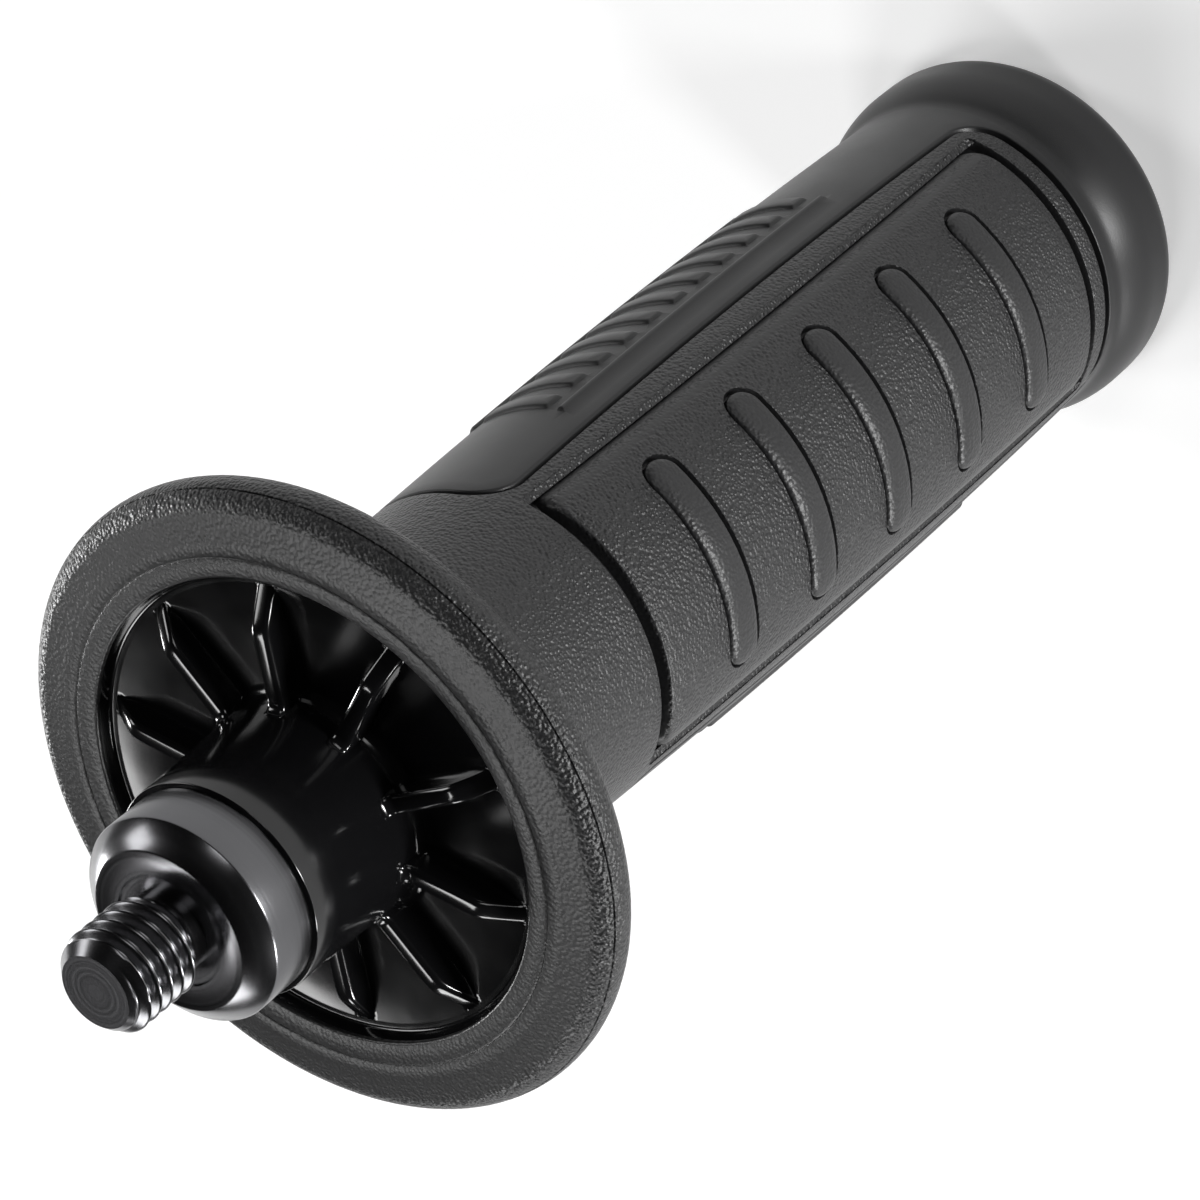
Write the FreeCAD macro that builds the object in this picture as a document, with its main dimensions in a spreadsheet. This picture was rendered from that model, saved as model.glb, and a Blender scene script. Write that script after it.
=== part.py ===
import FreeCAD, Part
import math
import os

import Sketcher
from FreeCAD import Placement, Rotation, Vector

# Screw-in side handle of an angle grinder, in millimetres.
# It stands on its end flange with the threaded stud pointing up. Z runs along its axis, with
# Z = 0 at the rear face. The two soft pads face +X and -X, the two hard strips +Y and -Y.

# Driving dimensions, in mm and degrees: name, value, what it is.
SIZES = [
    # The threaded stud
    ("thread_dia", 10.0, "M10 major diameter"),
    ("thread_len", 10.0, "from the collar's face to the tip"),
    ("tip_chamfer", 1.35, "chamfer of the tip"),
    ("relief_depth", 1.0, "thread relief at the collar"),
    ("relief_len", 1.3, "width of the relief"),
    ("undercut_depth", 0.3, "the relief's undercut into the collar's face"),
    ("undercut_reach", 0.6, "the undercut beyond the thread's radius"),
    ("collar_dia", 20.8, "turned collar"),
    ("collar_len", 7.0, "from the hub to the collar's face"),
    ("collar_bevel", 2.3, "wide chamfer of the collar, across"),
    ("collar_bevel_len", 2.0, "wide chamfer of the collar, along the axis"),
    ("shank_dia", 12.0, "shank moulded into the core"),
    ("shank_len", 40.0, "from the collar to the shank's end"),
    ("shank_ring_depth", 1.2, "rings that the plastic grips"),
    ("shank_ring_len", 3.0, "width of each ring"),
    ("shank_flat_depth", 1.0, "flats that stop the shank turning"),
    ("shank_flat_len", 12.0, "length of the flats, at the shank's end"),
    # The glossy core
    ("hub_dia", 21.8, "hub where it meets the collar"),
    ("hub_draft", 0.4, "gain of the hub's radius down to the floor"),
    ("hub_len", 15.0, "from the dish floor to the collar"),
    ("hub_root_radius", 1.5, "fillet between hub and floor"),
    ("dish_dia", 48.2, "mouth of the dish"),
    ("dish_draft", 0.3, "lean of the dish wall"),
    ("dish_depth", 2.0, "from the ring's lip down to the floor"),
    ("dish_wall", 1.2, "wall that stands round the dish"),
    ("plate_thickness", 2.2, "plate behind the floor"),
    ("plate_reach", 5.4, "how far the plate runs out under the ring"),
    ("rib_count", 10, "radial ribs in the dish"),
    ("rib_thickness", 2.0, "rib across its crest"),
    ("rib_height", 2.8, "crest above the floor"),
    ("rib_kink", 4.6, "from the dish wall in to where the crest turns down"),
    ("rib_end_gap", 0.8, "from the rib's outer end to the dish wall"),
    ("rib_end_height", 0.5, "outer end above the floor"),
    ("rib_edge_radius", 0.45, "rounding along the crest"),
    ("spine_dia", 21.0, "sleeve of the spine round the shank"),
    ("spine_cover", 5.0, "plastic below the shank's end"),
    ("fin_reach", 13.0, "cross fins of the spine, from the axis"),
    ("fin_thickness", 3.0, "each fin"),
    ("fin_end", 14.0, "lower end of the fins above the rear face"),
    # The hard grip body
    ("end_rise", 1.55, "end flange above the barrel"),
    ("end_len", 12.0, "end flange, from the rear face to the barrel"),
    ("end_rear_radius", 3.5, "rounding of the rear edge"),
    ("end_shoulder_radius", 10.0, "rounding of the flange's front shoulder"),
    ("end_root_radius", 3.0, "hollow between barrel and end flange"),
    ("gate_dia", 6.0, "gate dimple in the rear face"),
    ("gate_depth", 0.6, "depth of the dimple"),
    ("grip_len", 112.5, "barrel and neck, from the end flange to the ring's back"),
    ("barrel_dia", 37.6, "over the hard strips at the fullest place"),
    ("crown_len", 31.5, "from the end flange to the fullest place"),
    ("rear_taper", 0.35, "loss of radius from the crown to the end flange"),
    ("front_taper", 1.15, "loss of radius from the crown to the strips' front"),
    ("rear_land", 1.0, "plain barrel between end flange and soft panels"),
    ("strip_len", 87.0, "hard strips, from the soft panels' rear edge"),
    ("strip_rear_width", 18.6, "hard strips, edge to edge at the rear"),
    ("strip_front_width", 17.6, "hard strips, edge to edge at the front"),
    ("strip_corner_radius", 4.0, "corners of the strips' outline"),
    # The soft overmould
    ("soft_thickness", 2.4, "soft skin on the barrel"),
    ("neck_flare", 0.9, "gain of the neck's radius up to the ring"),
    ("neck_root_radius", 4.0, "fillet between neck and ring"),
    ("seam_width", 0.6, "groove along the hard strips"),
    ("seam_depth", 0.7, "depth of that groove"),
    ("pad_len", 79.6, "raised pads"),
    ("pad_border", 4.7, "from the soft panels' rear edge to the pads"),
    ("pad_rear_width", 28.2, "raised pads, edge to edge at the rear"),
    ("pad_front_width", 27.0, "raised pads, edge to edge at the front"),
    ("pad_corner_radius", 1.5, "corners of the pads' outline"),
    ("pad_rise", 0.25, "pads above the barrel"),
    ("moat_width", 1.0, "groove round each pad, at the pad's ends"),
    ("moat_side_width", 0.7, "the same groove along the pad's sides"),
    ("moat_corner_radius", 0.8, "outer corners of that groove"),
    ("moat_depth", 0.8, "depth of that groove"),
    ("bar_count", 5, "raised bars on each pad"),
    ("bar_pitch", 13.9, "from bar to bar"),
    ("bar_front_gap", 11.6, "from the pad's front to the first bar's middle"),
    ("bar_width", 3.9, "each bar"),
    ("bar_rise", 0.6, "bars above the pad"),
    ("bar_half_angle", 29.5, "from the pad's middle to where a bar's end rounds off"),
    ("ring_width", 8.4, "soft ring, from the dish's mouth to its rim"),
    ("ring_thickness", 5.8, "ring, from its back to its crest"),
    ("ring_crest_width", 2.2, "from the dish's mouth to the crest"),
    ("ring_crest", 0.3, "crest above the lip"),
    ("ring_fall", 0.6, "slope of the face from its crest to the front edge"),
    ("ring_front_radius", 2.4, "rounding of the ring's front edge"),
    ("ring_back_radius", 2.5, "rounding of the ring's back edge"),
    ("ring_skin", 1.6, "soft skin over the plate's front"),
    ("lip_skin", 0.5, "soft skin over the dish wall"),
    ("lip_edge_radius", 0.3, "rounding of the soft lip"),
]

doc = FreeCAD.newDocument("SideHandle")
sheet = doc.addObject("Spreadsheet::Sheet", "Sizes")
for row, (alias, value, meaning) in enumerate(SIZES, start=1):
    sheet.set("A" + str(row), alias)
    sheet.set("B" + str(row), str(value))
    sheet.set("C" + str(row), meaning)
    sheet.setAlias("B" + str(row), alias)
doc.recompute()

# Heights above the rear face, from the bottom up
BARREL_END = "Sizes.end_len"
PANEL_REAR = "(Sizes.end_len + Sizes.rear_land)"
CROWN = "(Sizes.end_len + Sizes.crown_len)"
STRIP_FRONT = "(Sizes.end_len + Sizes.rear_land + Sizes.strip_len)"
RING_BACK = "(Sizes.end_len + Sizes.grip_len)"
NECK_END = "(" + RING_BACK + " - Sizes.neck_root_radius)"
CREST = "(" + RING_BACK + " + Sizes.ring_thickness)"
LIP = "(" + CREST + " - Sizes.ring_crest)"
FLOOR = "(" + LIP + " - Sizes.dish_depth)"
PLATE_BACK = "(" + FLOOR + " - Sizes.plate_thickness)"
PLATE_FRONT = "(" + CREST + " - Sizes.ring_skin)"
WALL_TOP = "(" + LIP + " - Sizes.lip_skin)"
HUB_TOP = "(" + FLOOR + " + Sizes.hub_len)"
COLLAR_FACE = "(" + HUB_TOP + " + Sizes.collar_len)"
TIP = "(" + COLLAR_FACE + " + Sizes.thread_len)"
SHANK_END = "(" + HUB_TOP + " - Sizes.shank_len)"
SPINE_END = "(" + SHANK_END + " - Sizes.spine_cover)"

# Radii that several pieces share
BARREL = "(Sizes.barrel_dia / 2)"
BARREL_REAR = "(" + BARREL + " - Sizes.rear_taper)"
BARREL_FRONT = "(" + BARREL + " - Sizes.front_taper)"
NECK_TOP = "(" + BARREL_FRONT + " + Sizes.neck_flare)"
END = "(" + BARREL_REAR + " + Sizes.end_rise)"
DISH = "(Sizes.dish_dia / 2)"
RING = "(" + DISH + " + Sizes.ring_width)"
HUB = "(Sizes.hub_dia / 2)"
HUB_BASE = "(" + HUB + " + Sizes.hub_draft)"

# Arcs of the barrel's side: a rise over a length is an arc of (length^2 + rise^2) / (2 rise)
REAR_ARC = "((Sizes.crown_len^2 + Sizes.rear_taper^2) / (2 * Sizes.rear_taper))"
FRONT_RUN = "(" + STRIP_FRONT + " - " + CROWN + ")"
FRONT_ARC = "((" + FRONT_RUN + "^2 + Sizes.front_taper^2) / (2 * Sizes.front_taper))"
NECK_RUN = "(" + NECK_END + " - " + STRIP_FRONT + ")"
NECK_TURN = "(2 * atan(Sizes.front_taper / " + FRONT_RUN + ") + atan(Sizes.neck_flare / " + NECK_RUN + "))"
NECK_ARC = "(sqrt(" + NECK_RUN + "^2 + Sizes.neck_flare^2) / (2 * sin(" + NECK_TURN + ")))"

LEFT = 1
RIGHT = -1


def size(expression):
    """The present value of an expression."""
    value = sheet.evalExpression(expression.replace("Sizes.", ""))
    return float(value.Value if hasattr(value, "Value") else value)


def arc_between(start, end, radius, side):
    """The short arc from start to end whose centre lies to the LEFT or RIGHT of the way."""
    chord = end - start
    half = chord.Length / 2
    rise = math.sqrt(max(radius * radius - half * half, 0.0))
    across = Vector(-chord.y, chord.x, 0).normalize()
    centre = (start + end) * 0.5 + across * (rise * side)
    first = math.atan2(start.y - centre.y, start.x - centre.x)
    last = math.atan2(end.y - centre.y, end.x - centre.x)
    circle = Part.Circle(centre, Vector(0, 0, 1), radius)
    if side == LEFT:
        return Part.ArcOfCircle(circle, first, last)
    return Part.ArcOfCircle(circle, last, first)


def bind_corner(sketch, edge, end, across, up):
    """Tie one corner's place to its expressions, and to an axis where it lies on one."""
    for kind, axis, expression in (("DistanceX", -2, across), ("DistanceY", -1, up)):
        if expression == "0":
            sketch.addConstraint(Sketcher.Constraint("PointOnObject", edge, end, axis))
            continue
        index = sketch.addConstraint(Sketcher.Constraint(kind, -1, 1, edge, end, size(expression)))
        sketch.setExpression("Constraints[" + str(index) + "]", expression)


def draw_outline(sketch, corners):
    """Draw a closed outline. A corner is (across, up) or, before an arc, (across, up, radius, side)."""
    places = [Vector(size(corner[0]), size(corner[1]), 0) for corner in corners]
    first_edge = sketch.GeometryCount
    ends = []
    for index, corner in enumerate(corners):
        start = places[index]
        stop = places[(index + 1) % len(corners)]
        if len(corner) == 2:
            sketch.addGeometry(Part.LineSegment(start, stop))
            ends.append((1, 2))
        else:
            radius, side = corner[2], corner[3]
            sketch.addGeometry(arc_between(start, stop, size(radius), side))
            ends.append((1, 2) if side == LEFT else (2, 1))
    for index, corner in enumerate(corners):
        edge = first_edge + index
        before = (index - 1) % len(corners)
        joint = Sketcher.Constraint("Coincident", first_edge + before, ends[before][1], edge, ends[index][0])
        sketch.addConstraint(joint)
        bind_corner(sketch, edge, ends[index][0], corner[0], corner[1])
        if len(corner) > 2:
            number = sketch.addConstraint(Sketcher.Constraint("Radius", edge, size(corner[2])))
            sketch.setExpression("Constraints[" + str(number) + "]", corner[2])


def body_sketch(body, name, role, corners, height=None):
    """A sketch on one of the body's own origin planes."""
    sketch = body.newObject("Sketcher::SketchObject", name)
    plane = [item for item in body.Origin.OriginFeatures if item.Role == role][0]
    sketch.AttachmentSupport = [(plane, "")]
    sketch.MapMode = "FlatFace"
    if height is not None:
        sketch.setExpression("AttachmentOffset.Base.z", height)
    draw_outline(sketch, corners)
    return sketch


def side_sketch(name, corners, turn=0):
    """A sketch that stands upright, in the XZ plane turned about Z."""
    sketch = doc.addObject("Sketcher::SketchObject", name)
    upright = Rotation(Vector(1, 0, 0), 90)
    sketch.Placement = Placement(Vector(0, 0, 0), Rotation(Vector(0, 0, 1), turn) * upright)
    draw_outline(sketch, corners)
    return sketch


def revolved(name, corners):
    """A solid of revolution about Z from (radius, height) corners."""
    feature = doc.addObject("Part::Revolution", name)
    feature.Source = side_sketch(name + "_profile", corners)
    feature.Axis = Vector(0, 0, 1)
    feature.Base = Vector(0, 0, 0)
    feature.Angle = 360
    feature.Solid = True
    return feature


def window(name, corners, turn=0):
    """A prism through the whole grip from a side outline."""
    feature = doc.addObject("Part::Extrusion", name)
    feature.Base = side_sketch(name + "_outline", corners, turn)
    feature.DirMode = "Normal"
    feature.Symmetric = True
    feature.Solid = True
    feature.setExpression("LengthFwd", "Sizes.barrel_dia * 2")
    return feature


def cut(name, base, tool):
    """One solid less another."""
    feature = doc.addObject("Part::Cut", name)
    feature.Base = base
    feature.Tool = tool
    return feature


def common(name, base, tool):
    """What two solids share."""
    feature = doc.addObject("Part::Common", name)
    feature.Base = base
    feature.Tool = tool
    return feature


def fused(name, pieces):
    """Several solids made one."""
    feature = doc.addObject("Part::MultiFuse", name)
    feature.Shapes = pieces
    feature.Refine = True
    return feature


def barrel_side(offset):
    """The barrel's side from the soft panels' rear edge to the neck's end, moved out by offset."""
    return [
        (BARREL_REAR + offset, BARREL_END, REAR_ARC, LEFT),
        (BARREL + offset, CROWN, FRONT_ARC, LEFT),
        (BARREL_FRONT + offset, STRIP_FRONT, NECK_ARC, RIGHT),
        (NECK_TOP + offset, NECK_END),
    ]


def make_stud():
    """The turned steel stud: thread blank, collar and the shank inside the core."""
    body = doc.addObject("PartDesign::Body", "StudBody")
    shank = "(Sizes.shank_dia / 2)"
    waist = "(Sizes.shank_dia / 2 - Sizes.shank_ring_depth)"
    thread = "(Sizes.thread_dia / 2)"
    relief = "(Sizes.thread_dia / 2 - Sizes.relief_depth)"
    collar = "(Sizes.collar_dia / 2)"
    corners = [("0", SHANK_END), (shank, SHANK_END)]
    free_len = "(Sizes.shank_len - Sizes.shank_flat_len - 2 * Sizes.shank_ring_len)"
    for number in (0, 1):
        low = (SHANK_END + " + Sizes.shank_flat_len + " + str(number) + " * Sizes.shank_ring_len + "
               + free_len + " * " + str(number + 1) + " / 3")
        high = low + " + Sizes.shank_ring_len"
        corners += [(shank, low), (waist, low), (waist, high), (shank, high)]
    corners += [
        (shank, HUB_TOP),
        (collar, HUB_TOP),
        (collar, COLLAR_FACE + " - Sizes.collar_bevel_len"),
        (collar + " - Sizes.collar_bevel", COLLAR_FACE),
        (thread + " + Sizes.undercut_reach", COLLAR_FACE),
        (thread + " + Sizes.undercut_reach", COLLAR_FACE + " - Sizes.undercut_depth"),
        (relief, COLLAR_FACE + " - Sizes.undercut_depth"),
        (relief, COLLAR_FACE + " + Sizes.relief_len"),
        (thread, COLLAR_FACE + " + Sizes.relief_len + Sizes.relief_depth"),
        (thread, TIP + " - Sizes.tip_chamfer"),
        (thread + " - Sizes.tip_chamfer", TIP),
        ("0", TIP),
    ]
    profile = body_sketch(body, "StudProfile", "XZ_Plane", corners)
    turned = body.newObject("PartDesign::Revolution", "StudTurned")
    turned.Profile = profile
    turned.ReferenceAxis = (profile, ["V_Axis"])
    turned.Angle = 360
    doc.recompute()
    flats = make_flats(body, shank)
    body.Tip = flats
    body.Label = "threaded_stud"
    return body


def make_flats(body, shank):
    """Two flats milled at the shank's end."""
    flat = "(" + shank + " - Sizes.shank_flat_depth)"
    top = "(" + SHANK_END + " + Sizes.shank_flat_len)"
    outlines = []
    for sign in ("", "-"):
        near, far = sign + flat, sign + "Sizes.shank_dia"
        outlines.append([(near, SHANK_END), (far, SHANK_END), (far, top), (near, top)])
    sketch = body_sketch(body, "FlatOutlines", "XZ_Plane", outlines[0])
    draw_outline(sketch, outlines[1])
    pocket = body.newObject("PartDesign::Pocket", "ShankFlats")
    pocket.Profile = sketch
    pocket.Midplane = True
    pocket.Type = 0
    pocket.setExpression("Length", "Sizes.shank_dia * 2")
    return pocket


def make_core_body():
    """The glossy core before the stud is taken out: hub, dished plate, ribs and spine."""
    body = doc.addObject("PartDesign::Body", "CoreBody")
    spine = "(Sizes.spine_dia / 2)"
    plate = "(" + DISH + " + Sizes.plate_reach)"
    wall = "(" + DISH + " + Sizes.dish_wall)"
    profile = body_sketch(body, "CoreProfile", "XZ_Plane", [
        ("0", SPINE_END),
        (spine, SPINE_END),
        (spine, PLATE_BACK),
        (plate, PLATE_BACK),
        (plate, PLATE_FRONT),
        (wall, PLATE_FRONT),
        (wall, WALL_TOP),
        (DISH, WALL_TOP),
        (DISH + " - Sizes.dish_draft", FLOOR),
        (HUB_BASE + " + Sizes.hub_root_radius", FLOOR, "Sizes.hub_root_radius", RIGHT),
        (HUB_BASE, FLOOR + " + Sizes.hub_root_radius"),
        (HUB, HUB_TOP),
        ("0", HUB_TOP),
    ])
    turned = body.newObject("PartDesign::Revolution", "CoreTurned")
    turned.Profile = profile
    turned.ReferenceAxis = (profile, ["V_Axis"])
    turned.Angle = 360
    doc.recompute()
    make_fins(body)
    pattern = make_ribs(body)
    doc.recompute()
    body.Tip = round_ribs(body, pattern)
    return body


def make_core(core_body, stud):
    """The glossy core, moulded round the stud."""
    core = cut("Core", core_body, stud)
    core.Label = "flange_core"
    return core


def make_fins(body):
    """The cross fins that carry the spine on down inside the grip."""
    half = "(Sizes.fin_thickness / 2)"
    reach = "Sizes.fin_reach"
    corners = [
        (reach, "-" + half), (reach, half), (half, half), (half, reach),
        ("-" + half, reach), ("-" + half, half), ("-" + reach, half), ("-" + reach, "-" + half),
        ("-" + half, "-" + half), ("-" + half, "-" + reach), (half, "-" + reach), (half, "-" + half),
    ]
    sketch = body_sketch(body, "FinOutline", "XY_Plane", corners, "Sizes.fin_end")
    fins = body.newObject("PartDesign::Pad", "Fins")
    fins.Profile = sketch
    fins.Type = 0
    fins.setExpression("Length", PLATE_BACK + " - Sizes.fin_end")
    body.Tip = fins
    return fins


def make_ribs(body):
    """One radial rib and its polar pattern."""
    kink = "(" + DISH + " - Sizes.rib_kink)"
    outer = "(" + DISH + " - Sizes.dish_draft - Sizes.rib_end_gap)"
    root = "(" + FLOOR + " - Sizes.plate_thickness / 2)"
    inner = "(" + HUB + " - Sizes.hub_draft)"
    sketch = body_sketch(body, "RibSide", "XZ_Plane", [
        (inner, root),
        (outer, root),
        (outer, FLOOR + " + Sizes.rib_end_height"),
        (kink, FLOOR + " + Sizes.rib_height"),
        (inner, FLOOR + " + Sizes.rib_height"),
    ])
    rib = body.newObject("PartDesign::Pad", "Rib")
    rib.Profile = sketch
    rib.Type = 0
    rib.Midplane = True
    rib.setExpression("Length", "Sizes.rib_thickness")
    doc.recompute()
    pattern = body.newObject("PartDesign::PolarPattern", "Ribs")
    pattern.Originals = [rib]
    z_axis = [item for item in body.Origin.OriginFeatures if item.Role == "Z_Axis"][0]
    pattern.Axis = (z_axis, [""])
    pattern.Angle = 360
    pattern.setExpression("Occurrences", "Sizes.rib_count")
    body.Tip = pattern
    return pattern


def round_ribs(body, pattern):
    """Round the two long edges of every crest."""
    crest = size(FLOOR + " + Sizes.rib_height")
    end_top = size(FLOOR + " + Sizes.rib_end_height")
    outer = size(DISH)
    half = size("Sizes.rib_thickness / 2")
    names = []
    for number, edge in enumerate(pattern.Shape.Edges, start=1):
        ends = [vertex.Point for vertex in edge.Vertexes]
        if len(ends) != 2 or edge.Curve.TypeId != "Part::GeomLine":
            continue
        heights = sorted(point.z for point in ends)
        along = abs(math.hypot(ends[0].x, ends[0].y) - math.hypot(ends[1].x, ends[1].y))
        on_crest = heights[0] > end_top - 0.01 and abs(heights[1] - crest) < 0.01
        if on_crest and along > half and math.hypot(ends[0].x, ends[0].y) < outer:
            names.append("Edge" + str(number))
    fillet = body.newObject("PartDesign::Fillet", "RibEdges")
    fillet.Base = (pattern, names)
    fillet.setExpression("Radius", "min(Sizes.rib_edge_radius; Sizes.rib_thickness * 0.45)")
    return fillet


def hard_outline(gap):
    """Side outline of all that is hard: the rear land and a strip, grown by gap all round."""
    reach = "Sizes.barrel_dia"
    rear_half = "(Sizes.strip_rear_width / 2 + " + gap + ")"
    front_half = "(Sizes.strip_front_width / 2 + " + gap + ")"
    rear = "(" + PANEL_REAR + " + " + gap + ")"
    front = "(" + STRIP_FRONT + " + " + gap + ")"
    corner = "(Sizes.strip_corner_radius + " + gap + ")"
    inner = "(Sizes.strip_corner_radius - " + gap + ")"
    return [
        ("-" + reach, "0"),
        (reach, "0"),
        (reach, rear),
        (rear_half + " + " + inner, rear, inner, RIGHT),
        (rear_half, rear + " + " + inner),
        (front_half, front + " - " + corner, corner, LEFT),
        (front_half + " - " + corner, front),
        (corner + " - " + front_half, front, corner, LEFT),
        ("-" + front_half, front + " - " + corner),
        ("-" + rear_half, rear + " + " + inner, inner, RIGHT),
        ("-" + rear_half + " - " + inner, rear),
        ("-" + reach, rear),
    ]


def make_grip_body(core_body):
    """The hard grip body: end flange, rear land, two strips, and the sleeve under the soft skin."""
    both = "(Sizes.end_shoulder_radius + Sizes.end_root_radius)"
    turn = "acos(1 - Sizes.end_rise / " + both + ")"
    root_rise = "Sizes.end_root_radius * (1 - cos(" + turn + "))"
    root_len = "Sizes.end_root_radius * sin(" + turn + ")"
    gate = "(Sizes.gate_dia / 2)"
    tail = [
        ("0", "Sizes.gate_depth"),
        (gate, "Sizes.gate_depth"),
        (gate, "0"),
        (END + " - Sizes.end_rear_radius", "0", "Sizes.end_rear_radius", LEFT),
        (END, "Sizes.end_rear_radius"),
        (END, BARREL_END + " - " + both + " * sin(" + turn + ")", "Sizes.end_shoulder_radius", LEFT),
        (BARREL_REAR + " + " + root_rise, BARREL_END + " - " + root_len, "Sizes.end_root_radius", RIGHT),
    ]
    full = revolved("HardBlank", tail + barrel_side("") + [(NECK_TOP, PLATE_BACK), ("0", PLATE_BACK)])
    inside = " - Sizes.soft_thickness"
    sleeve = revolved("Sleeve", [("0", "Sizes.end_rear_radius")]
                      + [(BARREL_REAR + inside, "Sizes.end_rear_radius")]
                      + barrel_side(inside) + [(NECK_TOP + inside, PLATE_BACK), ("0", PLATE_BACK)])
    hard = common("HardSkin", full, window("HardWindow", hard_outline("0")))
    grip = cut("Grip", fused("GripBlank", [hard, sleeve]), core_body)
    grip.Label = "grip_body"
    return grip


def pad_outline(side_gap, gap, corner):
    """Side outline of a pad, grown by side_gap across and by gap at its ends."""
    rear_half = "(Sizes.pad_rear_width / 2 + " + side_gap + ")"
    front_half = "(Sizes.pad_front_width / 2 + " + side_gap + ")"
    rear = "(" + PANEL_REAR + " + Sizes.pad_border - " + gap + ")"
    front = "(" + PANEL_REAR + " + Sizes.pad_border + Sizes.pad_len + " + gap + ")"
    return [
        (corner + " - " + rear_half, rear),
        (rear_half + " - " + corner, rear, corner, LEFT),
        (rear_half, rear + " + " + corner),
        (front_half, front + " - " + corner, corner, LEFT),
        (front_half + " - " + corner, front),
        (corner + " - " + front_half, front, corner, LEFT),
        ("-" + front_half, front + " - " + corner),
        ("-" + rear_half, rear + " + " + corner, corner, LEFT),
    ]


def make_bars():
    """The raised bars: each a piece of a ring with a ball at either end, sunk in the pad."""
    tube = "((Sizes.bar_width^2 / 4 + Sizes.bar_rise^2) / (2 * Sizes.bar_rise))"
    first = "(" + PANEL_REAR + " + Sizes.pad_border + Sizes.pad_len - Sizes.bar_front_gap)"
    pieces = []
    for number in range(int(size("Sizes.bar_count"))):
        height = "(" + first + " - " + str(number) + " * Sizes.bar_pitch)"
        taper, run = ("rear_taper", "Sizes.crown_len")
        if size(height) > size(CROWN):
            taper, run = ("front_taper", FRONT_RUN)
        drop = "Sizes." + taper + " * ((" + height + " - " + CROWN + ") / " + run + ")^2"
        sweep = "(" + BARREL + " - " + drop + " + Sizes.pad_rise + Sizes.bar_rise - " + tube + ")"
        for side in (0, 180):
            name = "Bar_" + str(side) + "_" + str(number)
            bar = doc.addObject("Part::Torus", name)
            bar.setExpression("Radius1", sweep)
            bar.setExpression("Radius2", tube)
            bar.setExpression("Angle3", "2 * Sizes.bar_half_angle")
            bar.Placement = Placement(Vector(0, 0, 0), Rotation(Vector(0, 0, 1), side))
            bar.setExpression("Placement.Rotation.Angle", str(side) + " - Sizes.bar_half_angle")
            bar.setExpression("Placement.Base.z", height)
            pieces.append(bar)
            for end in ("-1", "1"):
                ball = doc.addObject("Part::Sphere", name + "_end")
                angle = "(" + str(side) + " + " + end + " * Sizes.bar_half_angle)"
                ball.setExpression("Radius", tube)
                ball.setExpression("Placement.Base.x", sweep + " * cos(" + angle + ")")
                ball.setExpression("Placement.Base.y", sweep + " * sin(" + angle + ")")
                ball.setExpression("Placement.Base.z", height)
                pieces.append(ball)
    return pieces


def make_soft_cover(core_body, grip):
    """The soft overmould: ring, neck, side panels, raised pads and their bars."""
    middle = "(" + FLOOR + " - Sizes.plate_thickness / 2)"
    inner = "(" + DISH + " + Sizes.dish_wall / 2)"
    front_edge = "(" + CREST + " - Sizes.ring_fall)"
    skin = revolved("SoftBlank", [("0", BARREL_END)] + barrel_side("")[:3] + [
        (NECK_TOP, NECK_END, "Sizes.neck_root_radius", RIGHT),
        (NECK_TOP + " + Sizes.neck_root_radius", RING_BACK),
        (RING + " - Sizes.ring_back_radius", RING_BACK, "Sizes.ring_back_radius", LEFT),
        (RING, RING_BACK + " + Sizes.ring_back_radius"),
        (RING, front_edge + " - Sizes.ring_front_radius", "Sizes.ring_front_radius", LEFT),
        (RING + " - Sizes.ring_front_radius", front_edge),
        (DISH + " + Sizes.ring_crest_width", CREST),
        (DISH + " + Sizes.lip_edge_radius", LIP, "Sizes.lip_edge_radius", LEFT),
        (DISH, LIP + " - Sizes.lip_edge_radius"),
        (DISH, WALL_TOP),
        (inner, WALL_TOP),
        (inner, middle),
        ("0", middle),
    ])
    pad_blank = revolved("PadBlank", [("0", BARREL_END)] + barrel_side(" + Sizes.pad_rise")
                         + [("0", NECK_END)])
    bars = fused("Bars", make_bars() + [pad_blank])
    pad = pad_outline("0", "0", "Sizes.pad_corner_radius")
    pads = common("Pads", bars, window("PadWindow", pad, 90))
    moat_blank = revolved("MoatFloor", [("0", BARREL_END)] + barrel_side(" - Sizes.moat_depth")
                          + [("0", NECK_END)])
    brink = pad_outline("Sizes.moat_side_width", "Sizes.moat_width", "Sizes.moat_corner_radius")
    moat_ring = cut("MoatRing", window("MoatOuter", brink, 90), window("MoatInner", pad, 90))
    moat = cut("Moat", moat_ring, moat_blank)
    seam_floor = revolved("SeamFloor", [("0", "0"), (BARREL + " - Sizes.seam_depth", "0")]
                          + [(BARREL_REAR + " - Sizes.seam_depth", BARREL_END, REAR_ARC, LEFT)]
                          + barrel_side(" - Sizes.seam_depth")[1:] + [("0", NECK_END)])
    seam = cut("Seam", window("SeamWindow", hard_outline("Sizes.seam_width")), seam_floor)
    grooved = cut("SoftGrooved", skin, fused("Grooves", [moat, seam]))
    padded = fused("SoftPadded", [grooved, pads])
    soft = cut("Soft", cut("SoftOverGrip", padded, grip), core_body)
    soft.Label = "soft_overmould"
    return soft


def check(pieces):
    """Stop if any object failed or any piece isn't one valid solid."""
    for item in doc.Objects:
        if "Invalid" in item.State or "Error" in item.State:
            raise RuntimeError(item.Name + " failed: " + str(item.State))
    for piece in pieces:
        if piece.Shape.isNull() or not piece.Shape.isValid():
            raise RuntimeError(piece.Label + " has no valid shape")
        if len(piece.Shape.Solids) != 1:
            raise RuntimeError(piece.Label + " is " + str(len(piece.Shape.Solids)) + " solids")


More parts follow.
